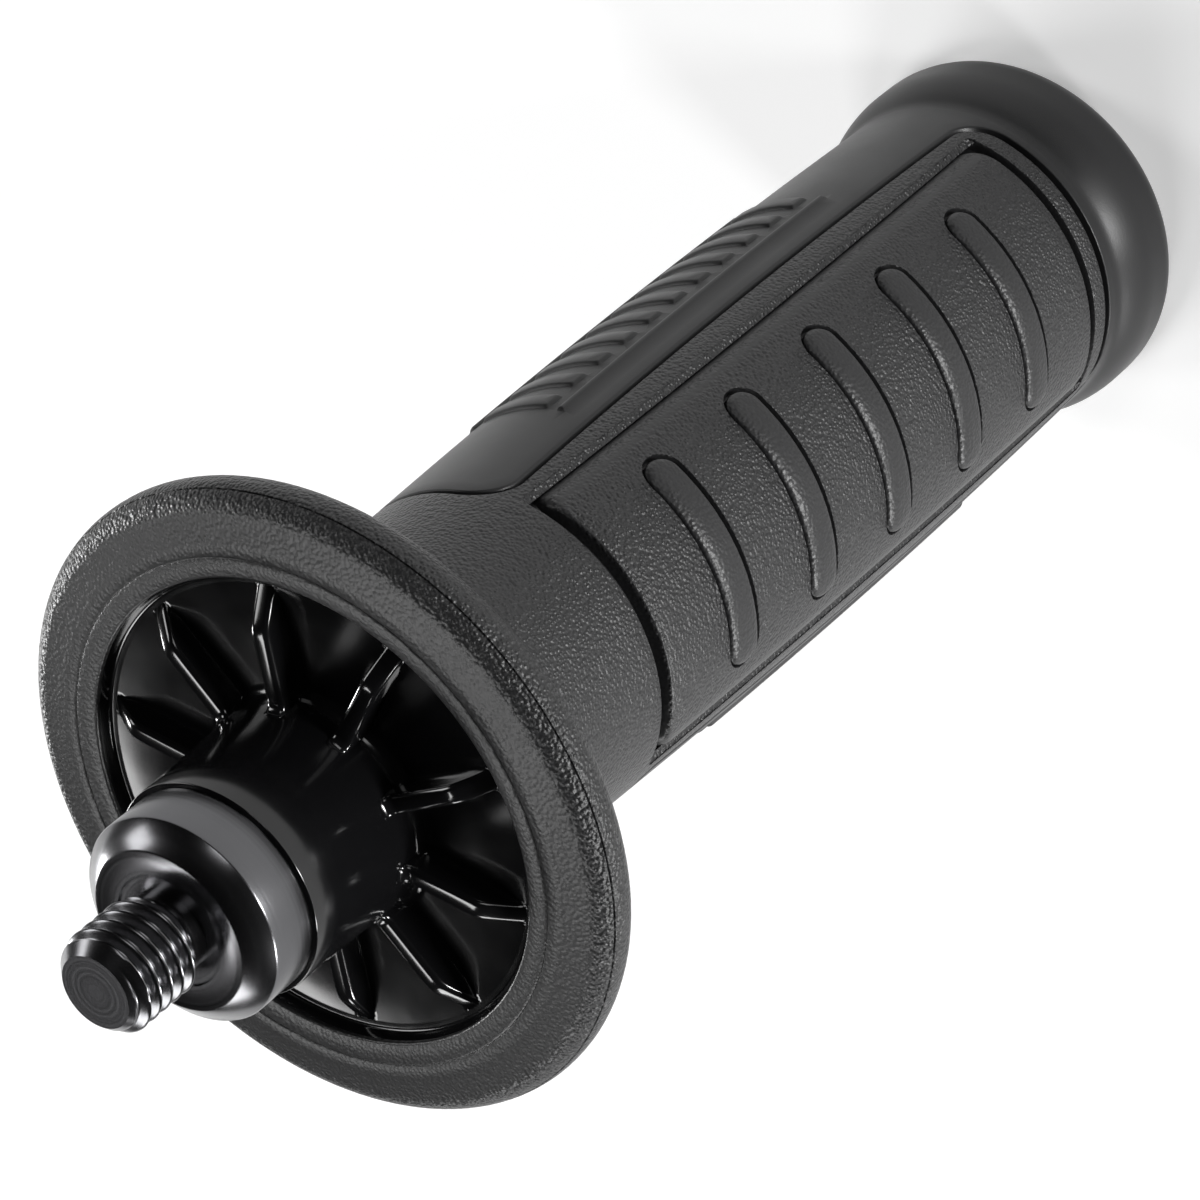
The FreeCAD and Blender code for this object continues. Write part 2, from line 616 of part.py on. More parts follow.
stud = make_stud()
core_body = make_core_body()
core = make_core(core_body, stud)
grip = make_grip_body(core_body)
soft = make_soft_cover(core_body, grip)
doc.recompute()
parts = [stud, core, grip, soft]
check(parts)
os.makedirs("parts", exist_ok=True)
for piece in parts:
    box = piece.Shape.BoundBox
    print(piece.Label, round(piece.Shape.Volume / 1000, 2), "cm3, height",
          round(box.ZMin, 2), "to", round(box.ZMax, 2), "across", round(box.XLength, 2))
    piece.Shape.exportStep("parts/" + piece.Label + ".step")
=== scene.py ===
import math

import bmesh
import bpy
import numpy as np
from mathutils import Matrix, Vector
from mathutils.geometry import delaunay_2d_cdt


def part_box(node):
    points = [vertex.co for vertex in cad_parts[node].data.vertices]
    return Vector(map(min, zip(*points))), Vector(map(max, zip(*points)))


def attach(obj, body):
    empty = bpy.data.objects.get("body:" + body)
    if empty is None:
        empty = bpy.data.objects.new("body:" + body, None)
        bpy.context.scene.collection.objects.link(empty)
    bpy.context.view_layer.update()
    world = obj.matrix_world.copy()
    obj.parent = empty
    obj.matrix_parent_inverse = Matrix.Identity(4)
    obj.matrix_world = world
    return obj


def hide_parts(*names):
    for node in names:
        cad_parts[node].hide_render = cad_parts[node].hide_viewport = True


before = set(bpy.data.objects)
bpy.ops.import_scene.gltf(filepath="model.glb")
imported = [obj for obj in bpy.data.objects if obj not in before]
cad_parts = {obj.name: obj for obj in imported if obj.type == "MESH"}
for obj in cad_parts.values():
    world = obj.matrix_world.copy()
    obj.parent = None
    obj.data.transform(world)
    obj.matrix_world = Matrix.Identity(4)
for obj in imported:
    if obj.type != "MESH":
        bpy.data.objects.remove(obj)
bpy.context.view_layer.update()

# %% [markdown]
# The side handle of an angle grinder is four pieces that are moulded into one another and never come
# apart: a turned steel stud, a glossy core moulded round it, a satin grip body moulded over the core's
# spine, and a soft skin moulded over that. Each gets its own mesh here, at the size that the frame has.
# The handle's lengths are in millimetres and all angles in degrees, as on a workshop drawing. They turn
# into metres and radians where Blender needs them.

MM = 0.001
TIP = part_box("threaded_stud")[1].z / MM
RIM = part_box("soft_overmould")[1].x / MM
print("tip of the stud at", round(TIP, 2), "mm, ring radius", round(RIM, 2), "mm")

# %% [markdown]
# The barrel is not a plain tube. It swells to its fullest place in the rear third, where the palm sits,
# and narrows to both ends, and the neck flares again up to the ring. Three shallow parabolas give that
# line, each joined to the next without a kink.

# %% The barrel's side
END_FLANGE, CROWN, STRIP_FRONT, NECK_END = 12.0, 43.5, 100.0, 120.5
BARREL = 18.8
REAR_TAPER, FRONT_TAPER, NECK_FLARE = 0.35, 1.15, 0.9


def barrel(height):
    """Radius of the grip's side at a height."""
    height = np.asarray(height, float)
    rear = BARREL - REAR_TAPER * ((height - CROWN) / (CROWN - END_FLANGE)) ** 2
    run = STRIP_FRONT - CROWN
    front = BARREL - FRONT_TAPER * ((height - CROWN) / run) ** 2
    ahead = height - STRIP_FRONT
    length = NECK_END - STRIP_FRONT
    lean = -2 * FRONT_TAPER / run
    bend = (NECK_FLARE - lean * length) / length ** 2
    neck = BARREL - FRONT_TAPER + lean * ahead + bend * ahead ** 2
    return np.where(height < CROWN, rear, np.where(height < STRIP_FRONT, front, neck))


for height in (END_FLANGE, CROWN, STRIP_FRONT, NECK_END):
    print("barrel radius at", height, "is", round(float(barrel(height)), 2))

# %% [markdown]
# A turned piece is a stack of rings. Every ring has the same number of points, so two neighbours are
# joined by a band of quads, and a ring shrunk to a point closes the end. This keeps long clean
# highlights, which a boolean would break up with slivers.

# %% Rings, and the bands between them
COLUMNS = 144
EVEN = np.arange(COLUMNS) * 360.0 / COLUMNS


def ring(radius, height, angles=EVEN):
    """Points round the axis. The radius may be one number or one for each angle."""
    turn = np.radians(angles)
    points = np.empty((len(turn), 3))
    points[:, 0] = radius * np.cos(turn)
    points[:, 1] = radius * np.sin(turn)
    points[:, 2] = height
    return points


def bands(rings):
    """The rings' points, and the quads between each ring and the next."""
    count = len(rings[0])
    quads = []
    for row in range(len(rings) - 1):
        low, high = row * count, (row + 1) * count
        for column in range(count):
            following = (column + 1) % count
            quads.append((low + column, low + following, high + following, high + column))
    return np.vstack(rings), quads


def arc(centre, radius, first, last, steps=6):
    """Points of an arc in a side outline, as (across, up)."""
    turns = np.radians(np.linspace(first, last, steps + 1))
    return [(centre[0] + radius * math.cos(t), centre[1] + radius * math.sin(t)) for t in turns]


def turned(outline, angles=EVEN):
    """A turned surface from a side outline of (radius, height) points."""
    return bands([ring(radius, height, angles) for radius, height in outline])


print("a plain ring has", len(ring(RIM, 0)), "points")

# %% [markdown]
# Each piece ends as one closed mesh: its patches are put together, points that meet are welded, and the
# faces are turned outward. Edges sharper than about 40 degrees stay sharp and everything else is shaded
# smooth, because the real edges are rounded and are modelled with their rounding.

# %% Closing a piece
WELD = 0.001
SHARP = 40.0


def close_piece(name, node, patches):
    """Weld patches of points and faces into one closed mesh that stands for a node of the frame."""
    shape = bmesh.new()
    for points, faces in patches:
        verts = [shape.verts.new(point * MM) for point in points]
        for face in faces:
            shape.faces.new([verts[index] for index in face])
    bmesh.ops.remove_doubles(shape, verts=shape.verts, dist=WELD * MM)
    bmesh.ops.delete(shape, geom=[v for v in shape.verts if not v.link_faces], context="VERTS")
    bmesh.ops.recalc_face_normals(shape, faces=shape.faces)
    open_edges = sum(1 for edge in shape.edges if len(edge.link_faces) != 2)
    mesh = bpy.data.meshes.new(name)
    shape.to_mesh(mesh)
    shape.free()
    mesh.shade_smooth()
    mesh.set_sharp_from_angle(angle=math.radians(SHARP))
    piece = bpy.data.objects.new(name, mesh)
    bpy.context.scene.collection.objects.link(piece)
    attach(piece, "root")
    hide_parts(node)
    print(name, "has", len(mesh.polygons), "faces and", open_edges, "open edges")
    return piece


# %% [markdown]
# The stud is turned from bar and then threaded. Its shank, which the core hides, has two grooves that
# hold it in and two flats that stop it turning. The thread is M10 with a pitch of 1.5 mm. A grid of
# upright columns would saw through every crest, so the rows climb with the helix instead: the last
# column of a row meets the first column one turn higher, and each crest is one clean line.

# %% The steel stud: shank and collar
COLLAR_FACE, HUB_TOP, SHANK_END = 150.0, 143.0, 103.0
SHANK, SHANK_WAIST, FLAT, FLAT_END = 6.0, 4.8, 5.0, 115.0
GROOVES = ((122.33, 125.33), (132.67, 135.67))
COLLAR, COLLAR_BEVEL, COLLAR_BEVEL_LEN = 10.4, 2.3, 2.0
COLLAR_EDGE = 0.12
RELIEF, UNDERCUT, UNDERCUT_DEPTH = 4.0, 5.6, 0.3
LEAST_COSINE = 0.01


def shank_rings(angles):
    """The shank from its end up to the collar, as the stud and the core's bore both have it."""
    cosine = np.maximum(np.abs(np.cos(np.radians(angles))), LEAST_COSINE)
    flats = np.minimum(SHANK, FLAT / cosine)
    rows = [ring(0, SHANK_END, angles), ring(flats, SHANK_END, angles), ring(flats, FLAT_END, angles)]
    rows.append(ring(SHANK, FLAT_END, angles))
    for low, high in GROOVES:
        for radius, height in ((SHANK, low), (SHANK_WAIST, low), (SHANK_WAIST, high), (SHANK, high)):
            rows.append(ring(radius, height, angles))
    rows.append(ring(SHANK, HUB_TOP, angles))
    return rows


bevel_foot = (COLLAR, COLLAR_FACE - COLLAR_BEVEL_LEN)
bevel_top = (COLLAR - COLLAR_BEVEL, COLLAR_FACE)
collar_outline = [
    (COLLAR - COLLAR_EDGE, HUB_TOP),
    (COLLAR, HUB_TOP + COLLAR_EDGE),
    (bevel_foot[0], bevel_foot[1] - COLLAR_EDGE),
    (bevel_foot[0] - COLLAR_EDGE, bevel_foot[1] + COLLAR_EDGE),
    (bevel_top[0] + COLLAR_EDGE, bevel_top[1] - COLLAR_EDGE),
    (bevel_top[0] - COLLAR_EDGE, bevel_top[1]),
    (UNDERCUT, COLLAR_FACE),
    (UNDERCUT, COLLAR_FACE - UNDERCUT_DEPTH),
    (RELIEF, COLLAR_FACE - UNDERCUT_DEPTH),
]

# %% The steel stud: thread
PITCH = 1.5
THREAD, ROOT = 5.0, 4.08
TIP_RADIUS = 3.65
THREAD_START = 151.3
THREAD_STEPS = 16
CREST_FLAT, FLANK_END = 1 / 16, 3 / 8
CREST_ROUND, ROOT_ROUND = 0.04, 0.1


def thread_radius(share):
    """Radius of the thread at a share of one turn, with a crest at 0 and a rounded root at a half."""
    share = min(share, 1 - share)
    flank = THREAD - (share - CREST_FLAT) / (FLANK_END - CREST_FLAT) * (THREAD - ROOT - ROOT_ROUND)
    valley = ROOT + ROOT_ROUND * ((0.5 - share) / (0.5 - FLANK_END)) ** 2
    return min(THREAD - CREST_ROUND * (share >= CREST_FLAT), flank if share < FLANK_END else valley)


def make_thread():
    """The thread as a helical grid, cut to a cone at the tip and at the relief."""
    rows = int(round((TIP - THREAD_START) / PITCH * THREAD_STEPS)) + THREAD_STEPS + 1
    points = []
    for row in range(rows):
        level = (row - THREAD_STEPS) / THREAD_STEPS
        radius = thread_radius((row % THREAD_STEPS) / THREAD_STEPS)
        height = np.clip(THREAD_START + PITCH * (level + EVEN / 360.0), THREAD_START, TIP)
        tapers = np.minimum(RELIEF + height - THREAD_START, TIP_RADIUS + TIP - height)
        points.append(ring(np.minimum(radius, tapers), height))
    quads = []
    for row in range(rows - 1):
        for column in range(COLUMNS):
            turn = THREAD_STEPS if column == COLUMNS - 1 else 0
            following = (column + 1) % COLUMNS
            lower = min(row + turn, rows - 1) * COLUMNS + following
            upper = min(row + 1 + turn, rows - 1) * COLUMNS + following
            corners = (row * COLUMNS + column, lower, upper, (row + 1) * COLUMNS + column)
            if len(set(corners)) == 4:
                quads.append(corners)
            elif len(set(corners)) == 3:
                quads.append(tuple(dict.fromkeys(corners)))
    return np.vstack(points), quads


threaded_stud = close_piece("threaded_stud_turned", "threaded_stud", [
    bands(shank_rings(EVEN) + [ring(radius, height) for radius, height in collar_outline]
          + [ring(RELIEF, THREAD_START)]),
    make_thread(),
    turned([(TIP_RADIUS, TIP), (0, TIP)]),
])

# %% [markdown]
# The core is the glossy moulding in the middle: a hub, a shallow dish with ten ribs, and a hidden spine
# with cross fins. The ribs could be boxes joined by a boolean, but then their edges and roots would need
# rounding by hand. Here they are part of the dish's own surface: every ring has columns that follow a
# rib's flanks, and those columns are lifted by the rib's height, with a rounded crest and a small
# fillet at the foot. One closed surface results, with no seam between rib and floor.

# %% The glossy core: how a ring follows the ribs
RIBS = 10
SECTOR = 360.0 / RIBS
RIB_HALF, RIB_EDGE = 1.0, 0.6
RIB_FOOT, FOOT_HOLLOW = 0.4, 0.3
UPRIGHT, NO_LIMIT = 0.02, 9.0
QUARTER_ROUND = ((1.0, 0.0), (0.62, 0.076), (0.29, 0.29), (0.076, 0.62), (0.0, 1.0))
# Half a rib's section as (distance from its middle, drop from its crest, most that it may be lifted)
RIB_SECTION = [(0.0, 0.0, NO_LIMIT)]
RIB_SECTION += [(RIB_HALF - RIB_EDGE * out, RIB_EDGE * down, NO_LIMIT) for out, down in QUARTER_ROUND]
RIB_SECTION += [
    (RIB_HALF + UPRIGHT, 0.0, RIB_FOOT),
    (RIB_HALF + RIB_FOOT * FOOT_HOLLOW, 0.0, RIB_FOOT * FOOT_HOLLOW),
    (RIB_HALF + RIB_FOOT, 0.0, 0.0),
]
SECTION = RIB_SECTION[:0:-1] + RIB_SECTION
SIDES = [-1] * (len(RIB_SECTION) - 1) + [1] * len(RIB_SECTION)
GAP_COLUMNS = 11
CORE_COLUMNS = RIBS * (len(SECTION) + GAP_COLUMNS)


def rib_ring(radius, height, rib=0.0, climb=0.0):
    """A ring whose columns follow the ribs. rib is their height here, climb what the hub adds."""
    angles, lifts = [], []
    edge = math.degrees(math.asin(SECTION[-1][0] / radius))
    for number in range(RIBS):
        middle = number * SECTOR
        for side, (offset, drop, most) in zip(SIDES, SECTION):
            angles.append(middle + side * math.degrees(math.asin(offset / radius)))
            lifts.append(min(max(rib + climb - drop, 0.0), most))
        for step in range(1, GAP_COLUMNS + 1):
            angles.append(middle + edge + (SECTOR - 2 * edge) * step / (GAP_COLUMNS + 1))
            lifts.append(0.0)
    return ring(radius, np.maximum(height, FLOOR + np.array(lifts)), np.array(angles))


# %% The glossy core: its spine, seen from the end
SPINE, SPINE_END = 10.5, 98.0
FIN_REACH, FIN_HALF, FIN_END = 13.0, 1.5, 14.0


def fin_angles(count):
    """Angles round the axis with a point on each corner of the cross fins and of the sleeve."""
    tip = math.degrees(math.atan(FIN_HALF / FIN_REACH))
    sleeve = math.degrees(math.asin(FIN_HALF / SPINE))
    eighth = count // 8
    half = np.interp(np.arange(eighth + 1), [0, 2, 3, eighth], [0, tip, sleeve, 45.0])
    quarter = np.concatenate([half, 90.0 - half[-2:0:-1]])
    return np.concatenate([quarter + 90.0 * number for number in range(4)])


def spine_rings(count):
    """The spine from its lower end up, as the core and the bore of the grip body both have it."""
    angles = fin_angles(count)
    turn = np.radians(np.abs((angles + 45.0) % 90.0 - 45.0))
    with np.errstate(divide="ignore"):
        cross = np.minimum(FIN_REACH / np.cos(turn), FIN_HALF / np.sin(turn))
    both = np.maximum(cross, SPINE)
    return [
        ring(0, FIN_END, angles),
        ring(cross, FIN_END, angles),
        ring(cross, SPINE_END, angles),
        ring(both, SPINE_END, angles),
        ring(both, PLATE_BACK, angles),
    ]


# %% The glossy core: rows from the spine, round the plate, into the dish and up the hub
FLOOR, PLATE_BACK, PLATE_FRONT, WALL_TOP = 128.0, 125.8, 128.7, 129.5
DISH, DISH_DRAFT, DISH_FOOT = 24.1, 0.3, 0.4
PLATE, WALL = 29.5, 25.3
RIB_TOP, RIB_END_TOP, RIB_KINK, RIB_END = 2.8, 0.5, 19.5, 23.0
HUB, HUB_BASE, HUB_FOOT, HUB_EDGE = 10.9, 11.3, 1.5, 0.12
RIB_HUB_FOOT = 0.9
KINK_ROUND = 0.5
SWEEP_START, SWEEP = 17.0, 0.011
DISH_ROWS = (RIB_END, 22.9, *np.arange(22.5, 17.0, -0.5), 16.0, 14.5, 13.4)
HUB_ROWS = (129.9, 130.4, 130.8, 131.3, 131.8, 134.0, 137.0, 140.0, HUB_TOP - HUB_EDGE)


def rib_height(radius):
    """Height of a rib's crest above the floor, with the kink slightly rounded."""
    slope = (RIB_TOP - RIB_END_TOP) / (RIB_END - RIB_KINK)
    past = radius - RIB_KINK
    return RIB_TOP - slope * (past + math.sqrt(past * past + KINK_ROUND ** 2)) / 2


def floor_height(radius):
    """The dish's floor, which sweeps up a little towards the wall."""
    return FLOOR + max(radius - SWEEP_START, 0.0) ** 2 * SWEEP


core_rows = spine_rings(CORE_COLUMNS)
for radius, height in ((PLATE, PLATE_BACK), (PLATE, PLATE_FRONT), (WALL, PLATE_FRONT),
                       (WALL, WALL_TOP), (DISH, WALL_TOP)):
    core_rows.append(rib_ring(radius, height))
foot_centre = (DISH - DISH_DRAFT - DISH_FOOT, floor_height(RIB_END) + DISH_FOOT)
for radius, height in arc(foot_centre, DISH_FOOT, 0, -90, 4):
    core_rows.append(rib_ring(radius, height))
core_rows.append(rib_ring(RIB_END + UPRIGHT, floor_height(RIB_END)))
for radius in DISH_ROWS:
    core_rows.append(rib_ring(radius, floor_height(radius), rib_height(radius)))
for radius, height in arc((HUB_BASE + HUB_FOOT, FLOOR + HUB_FOOT), HUB_FOOT, 270, 180, 10):
    reach = min(max(HUB_BASE + RIB_HUB_FOOT - radius, 0.0), RIB_HUB_FOOT)
    climb = RIB_HUB_FOOT - math.sqrt(RIB_HUB_FOOT ** 2 - reach ** 2)
    core_rows.append(rib_ring(radius, height, RIB_TOP, climb))
hub_foot_top = FLOOR + HUB_FOOT
for height in HUB_ROWS:
    radius = np.interp(height, [hub_foot_top, HUB_TOP], [HUB_BASE, HUB])
    core_rows.append(rib_ring(radius, height, RIB_TOP, RIB_HUB_FOOT))
for radius, height in arc((HUB - HUB_EDGE, HUB_TOP - HUB_EDGE), HUB_EDGE, 30, 90, 3):
    core_rows.append(rib_ring(radius, height))
bore_angles = np.degrees(np.arctan2(core_rows[-1][:, 1], core_rows[-1][:, 0]))
core_rows += shank_rings(bore_angles)[::-1]
flange_core = close_piece("flange_core_moulded", "flange_core", [bands(core_rows)])

# %% [markdown]
# The grip is two mouldings whose surfaces meet along a seam: hard strips on the sides, soft panels front
# and back with a raised pad in a moat and five bars. Every one of those edges is a line on the barrel.
# A regular grid would step along the slanted and rounded ones. Instead each line is drawn as a chain of
# points, once for each height of its rounded edge, on one quarter of the barrel rolled out flat, and a
# triangulation that must keep those chains fills what lies between. The quarter is then mirrored.

# %% Lines on the rolled-out barrel
SKIN = 2.4
PANEL_REAR = 13.0
STRIP_REAR_HALF, STRIP_FRONT_HALF, STRIP_CORNER = 9.3, 8.8, 4.0
PAD_REAR, PAD_FRONT = 17.7, 97.3
PAD_REAR_HALF, PAD_FRONT_HALF, PAD_CORNER, PAD_RISE = 14.1, 13.5, 1.5, 0.25
LONG_STEP, ARC_STEP = 1.4, 0.3


def rounded(corners):
    """Points along a path of (across, up, radius) corners, each rounded by its radius."""
    path = [np.array(corners[0][:2], float)]
    for index in range(1, len(corners) - 1):
        before, here, after = (np.array(corners[index + k][:2], float) for k in (-1, 0, 1))
        into = (here - before) / np.linalg.norm(here - before)
        out = (after - here) / np.linalg.norm(after - here)
        turn = math.acos(np.clip(into @ out, -1, 1))
        radius = corners[index][2]
        reach = radius * math.tan(turn / 2)
        start = here - into * reach
        side = out - into * (into @ out)
        side /= np.linalg.norm(side)
        steps = max(3, int(math.ceil(radius * turn / ARC_STEP)))
        for step in range(steps + 1):
            angle = turn * step / steps
            path.append(start + into * radius * math.sin(angle) + side * radius * (1 - math.cos(angle)))
    path.append(np.array(corners[-1][:2], float))
    fine = [path[0]]
    for point in path[1:]:
        pieces = max(1, int(math.ceil(np.linalg.norm(point - fine[-1]) / LONG_STEP)))
        start = fine[-1]
        fine += [start + (point - start) * (k + 1) / pieces for k in range(pieces)]
    return np.array(fine)


def chain(angles, heights, lift, lean):
    """A line on the barrel: angle, height, lift above the barrel, and the way its walls lean."""
    count = len(angles)
    return np.column_stack([angles, heights, np.full(count, lift), np.broadcast_to(lean, count)])


# %% The strip's outline
LEAN_RUN, REAR_POINTS = 3.4, 13


def strip_half(height):
    """Half the strip's width at a height."""
    return np.interp(height, [PANEL_REAR, STRIP_FRONT], [STRIP_REAR_HALF, STRIP_FRONT_HALF])


def strip_chain(gap, lift, rear_gap=0.0):
    """The outline of all that is hard, grown by gap, from the strip's middle to the pad's middle."""
    rear, front = PANEL_REAR + gap + rear_gap, STRIP_FRONT + gap
    end = STRIP_REAR_HALF + STRIP_CORNER
    line = rounded([
        (0.0, front),
        (STRIP_FRONT_HALF + gap, front, STRIP_CORNER + gap),
        (STRIP_REAR_HALF + gap, rear, STRIP_CORNER - gap),
        (end, rear),
    ])
    angles = np.degrees(np.arccos(line[:, 0] / barrel(line[:, 1])))
    lean = np.clip((end - line[:, 0]) / LEAN_RUN, 0, 1)
    rest = np.linspace(angles[-1], 0.0, REAR_POINTS)[1:]
    angles = np.concatenate([angles, rest])
    heights = np.concatenate([line[:, 1], np.full(len(rest), rear)])
    return chain(angles, heights, lift, np.concatenate([lean, np.zeros(len(rest))]))


# %% The pad's outline and its bars
BARS, BAR_PITCH, FIRST_BAR, BAR_REACH = 5, 13.9, 85.7, 29.5
BAR_POINTS, LEAST_TURNS = 8, 5


def pad_chain(side, end, corner, lift):
    """The pad's outline, grown by side across and by end at both ends."""
    line = rounded([
        (0.0, PAD_FRONT + end),
        (PAD_FRONT_HALF + side, PAD_FRONT + end, corner),
        (PAD_REAR_HALF + side, PAD_REAR - end, corner),
        (0.0, PAD_REAR - end),
    ])
    return chain(np.degrees(np.arcsin(line[:, 0] / barrel(line[:, 1]))), line[:, 1], lift, -1.0)


def bar_chain(number, ahead, behind, lift):
    """One level line of a bar: two straights, ahead of its middle and behind it, and the round end."""
    half = (ahead + behind) / 2
    middle = FIRST_BAR - number * BAR_PITCH + (ahead - behind) / 2
    reach = math.radians(BAR_REACH) * float(barrel(middle))
    if half == 0:
        line = np.column_stack([np.linspace(0, reach, BAR_POINTS), np.full(BAR_POINTS, middle)])
    else:
        steps = max(LEAST_TURNS, int(math.pi * half / ARC_STEP))
        turns = np.radians(np.linspace(90, -90, steps + 1))
        side = np.linspace(0, reach, BAR_POINTS)[:-1]
        line = np.concatenate([
            np.column_stack([side, np.full(len(side), middle + half)]),
            np.column_stack([reach + half * np.cos(turns), middle + half * np.sin(turns)]),
            np.column_stack([side[::-1], np.full(len(side), middle - half)]),
        ])
    return chain(np.degrees(line[:, 0] / barrel(line[:, 1])), line[:, 1], lift, 0.0)


print("a quarter of the strip's outline has", len(strip_chain(0.0, 0.0)), "points")

# %% [markdown]
# A groove's wall runs the way its mould opened: straight sideways at the pads, and at right angles to
# that at the strips. So a point that goes down doesn't move towards the axis: it keeps its distance
# from the plane of that mould half. The lean says which: 1 at the strips, -1 at the pads, and 0 for
# straight to the axis.

# %% From the rolled-out barrel to space
def place(spots):
    """Points in space for (angle, height, lift, lean) rows."""
    turn = np.radians(spots[:, 0])
    radius = barrel(spots[:, 1])
    reach = radius + spots[:, 2]
    lean = spots[:, 3]
    by_strip = np.arccos(np.clip(radius * np.cos(turn) / reach, -1, 1))
    by_pad = np.arcsin(np.clip(radius * np.sin(turn) / reach, -1, 1))
    turn = turn + np.maximum(lean, 0) * (by_strip - turn) + np.maximum(-lean, 0) * (by_pad - turn)
    return np.column_stack([reach * np.cos(turn), reach * np.sin(turn), spots[:, 1]])


def place_under(spots):
    """The same rows on the sleeve under the soft skin."""
    turn = np.radians(spots[:, 0])
    radius = barrel(spots[:, 1])
    reach = radius - SKIN
    half = strip_half(spots[:, 1])
    edge, edge_under = np.arccos(half / radius), np.arccos(half / reach)
    beyond = np.arccos(np.clip(radius * np.cos(turn) / reach, -1, 1))
    turn = np.where(turn <= edge + 1e-9, turn * edge_under / edge, beyond)
    return np.column_stack([reach * np.cos(turn), reach * np.sin(turn), spots[:, 1]])


# %% The rolled-out quarter: room round the chains, and its borders
FLAT_RADIUS = 18.0
COLUMN_STEP = 360.0 / COLUMNS
ROOM, LEVEL_ROOM, SAME_PLACE = 0.55, 0.1, 1e-7


def near_chains(spots, chains):
    """For each spot, whether it lies too close to a chain."""
    scale = np.array([math.radians(1) * FLAT_RADIUS, 1.0])
    starts = np.vstack([line[:-1, :2] for line in chains]) * scale
    stops = np.vstack([line[1:, :2] for line in chains]) * scale
    along = stops - starts
    length = np.maximum((along ** 2).sum(1), 1e-12)
    close = []
    for spot in spots[:, :2] * scale:
        share = np.clip(((spot - starts) * along).sum(1) / length, 0, 1)
        gaps = np.linalg.norm(starts + along * share[:, None] - spot, axis=1)
        close.append(gaps.min() < ROOM)
    return np.array(close)


def on_border(spots, column, value, start, stop):
    """The spots on one straight border of the quarter, in order from start to stop."""
    along = spots[:, 1 - column]
    low, high = sorted((start, stop))
    between = (along > low - SAME_PLACE) & (along < high + SAME_PLACE)
    here = (np.abs(spots[:, column] - value) < SAME_PLACE) & between
    order = np.where(here)[0]
    order = order[np.argsort(along[order])]
    return (order if start < stop else order[::-1]).tolist()


# %% Filling the rolled-out quarter
def fill_quarter(chains, level, inside, lift, row_step=1.7, column_step=2):
    """Triangles for a quarter of the barrel, from its edge chain, which is the first, to a level line.

    inside says which loose spots belong, and lift gives their height above the barrel.
    """
    low, high = sorted((level, STRIP_FRONT if level < PANEL_REAR else PANEL_REAR))
    rows = np.linspace(low, high, int((high - low) / row_step) + 1)
    loose = [(angle, height) for height in rows for angle in np.arange(0, 90.1, COLUMN_STEP * column_step)]
    loose = [spot for spot in loose if inside(*spot) and abs(spot[1] - level) > LEVEL_ROOM]
    loose = np.array(loose + [(angle, level) for angle in np.arange(0, 90.1, COLUMN_STEP)])
    loose = np.column_stack([loose, [lift(*spot) for spot in loose], np.zeros(len(loose))])
    loose = loose[~near_chains(loose, chains)]
    spots, edges = [loose], []
    count = len(loose)
    for line in chains:
        edges += [(count + k, count + k + 1) for k in range(len(line) - 1)]
        spots.append(line)
        count += len(line)
    spots = np.vstack(spots)
    outline = list(range(len(loose), len(loose) + len(chains[0])))
    outline += on_border(spots, 0, 0.0, chains[0][-1, 1], level)
    outline += on_border(spots, 1, level, 0.0, 90.0)
    outline += on_border(spots, 0, 90.0, level, chains[0][0, 1])
    outline = list(dict.fromkeys(outline))
    if level > PANEL_REAR:
        outline.reverse()
    flat = [Vector((math.radians(spot[0]) * FLAT_RADIUS, spot[1])) for spot in spots]
    result = delaunay_2d_cdt(flat, edges, [outline], 0, SAME_PLACE, True)
    faces, origins, within = result[2], result[3], result[5]
    assert all(origins), "two lines of the grip cross"
    kept = [tuple(face) for face, owner in zip(faces, within) if owner]
    return spots[[origin[0] for origin in origins]], kept


# %% Mirroring the quarter all round
def all_round(points, faces):
    """Four mirrored copies of a quarter."""
    patches = []
    for across in (1, -1):
        for along in (1, -1):
            patches.append((points * np.array([across, along, 1]), faces))
    return patches


def wall(upper, lower):
    """The wall between two rows of points, all round."""
    count = len(upper)
    quads = [(k, k + 1, count + k + 1, count + k) for k in range(count - 1)]
    return all_round(np.vstack([upper, lower]), quads)


under_quarter = np.array([[angle, NECK_END, 0, 0] for angle in np.arange(0, 90, COLUMN_STEP)])
under_points = place_under(under_quarter)
under_turn = np.degrees(np.arctan2(under_points[:, 1], under_points[:, 0]))
mirrored = 180.0 - under_turn[:0:-1]
UNDER = np.concatenate([under_turn, [90.0], mirrored])
UNDER = np.concatenate([UNDER, UNDER + 180.0])
print("columns on the sleeve:", len(UNDER), "and on the barrel:", COLUMNS)


def under_patch(edge_chain):
    """The sleeve's surface from the seam up to the neck's end."""
    spots, faces = fill_quarter(
        [edge_chain], NECK_END, in_soft, lambda angle, height: 0.0, row_step=4.0, column_step=4)
    return all_round(place_under(spots), faces)


def in_hard(angle, height):
    """Whether a place on the barrel is on the rear land or on a strip."""
    across = float(barrel(height)) * math.cos(math.radians(angle))
    return height < PANEL_REAR or (height < STRIP_FRONT and across < strip_half(height))


def in_soft(angle, height):
    """Whether a place on the barrel is on the soft skin."""
    return not in_hard(angle, height)


# %% [markdown]
# The soft skin is a thermoplastic rubber, moulded over the finished hard body. It shows four things: a
# ring round the dish, the neck, and a panel on each side with a raised pad. Where two mouldings meet,
# toolmakers leave a small groove, because a flush joint always shows a ragged line. That groove, the
# moat round the pad and the bars get their real rounded edges here, since those catch the light.

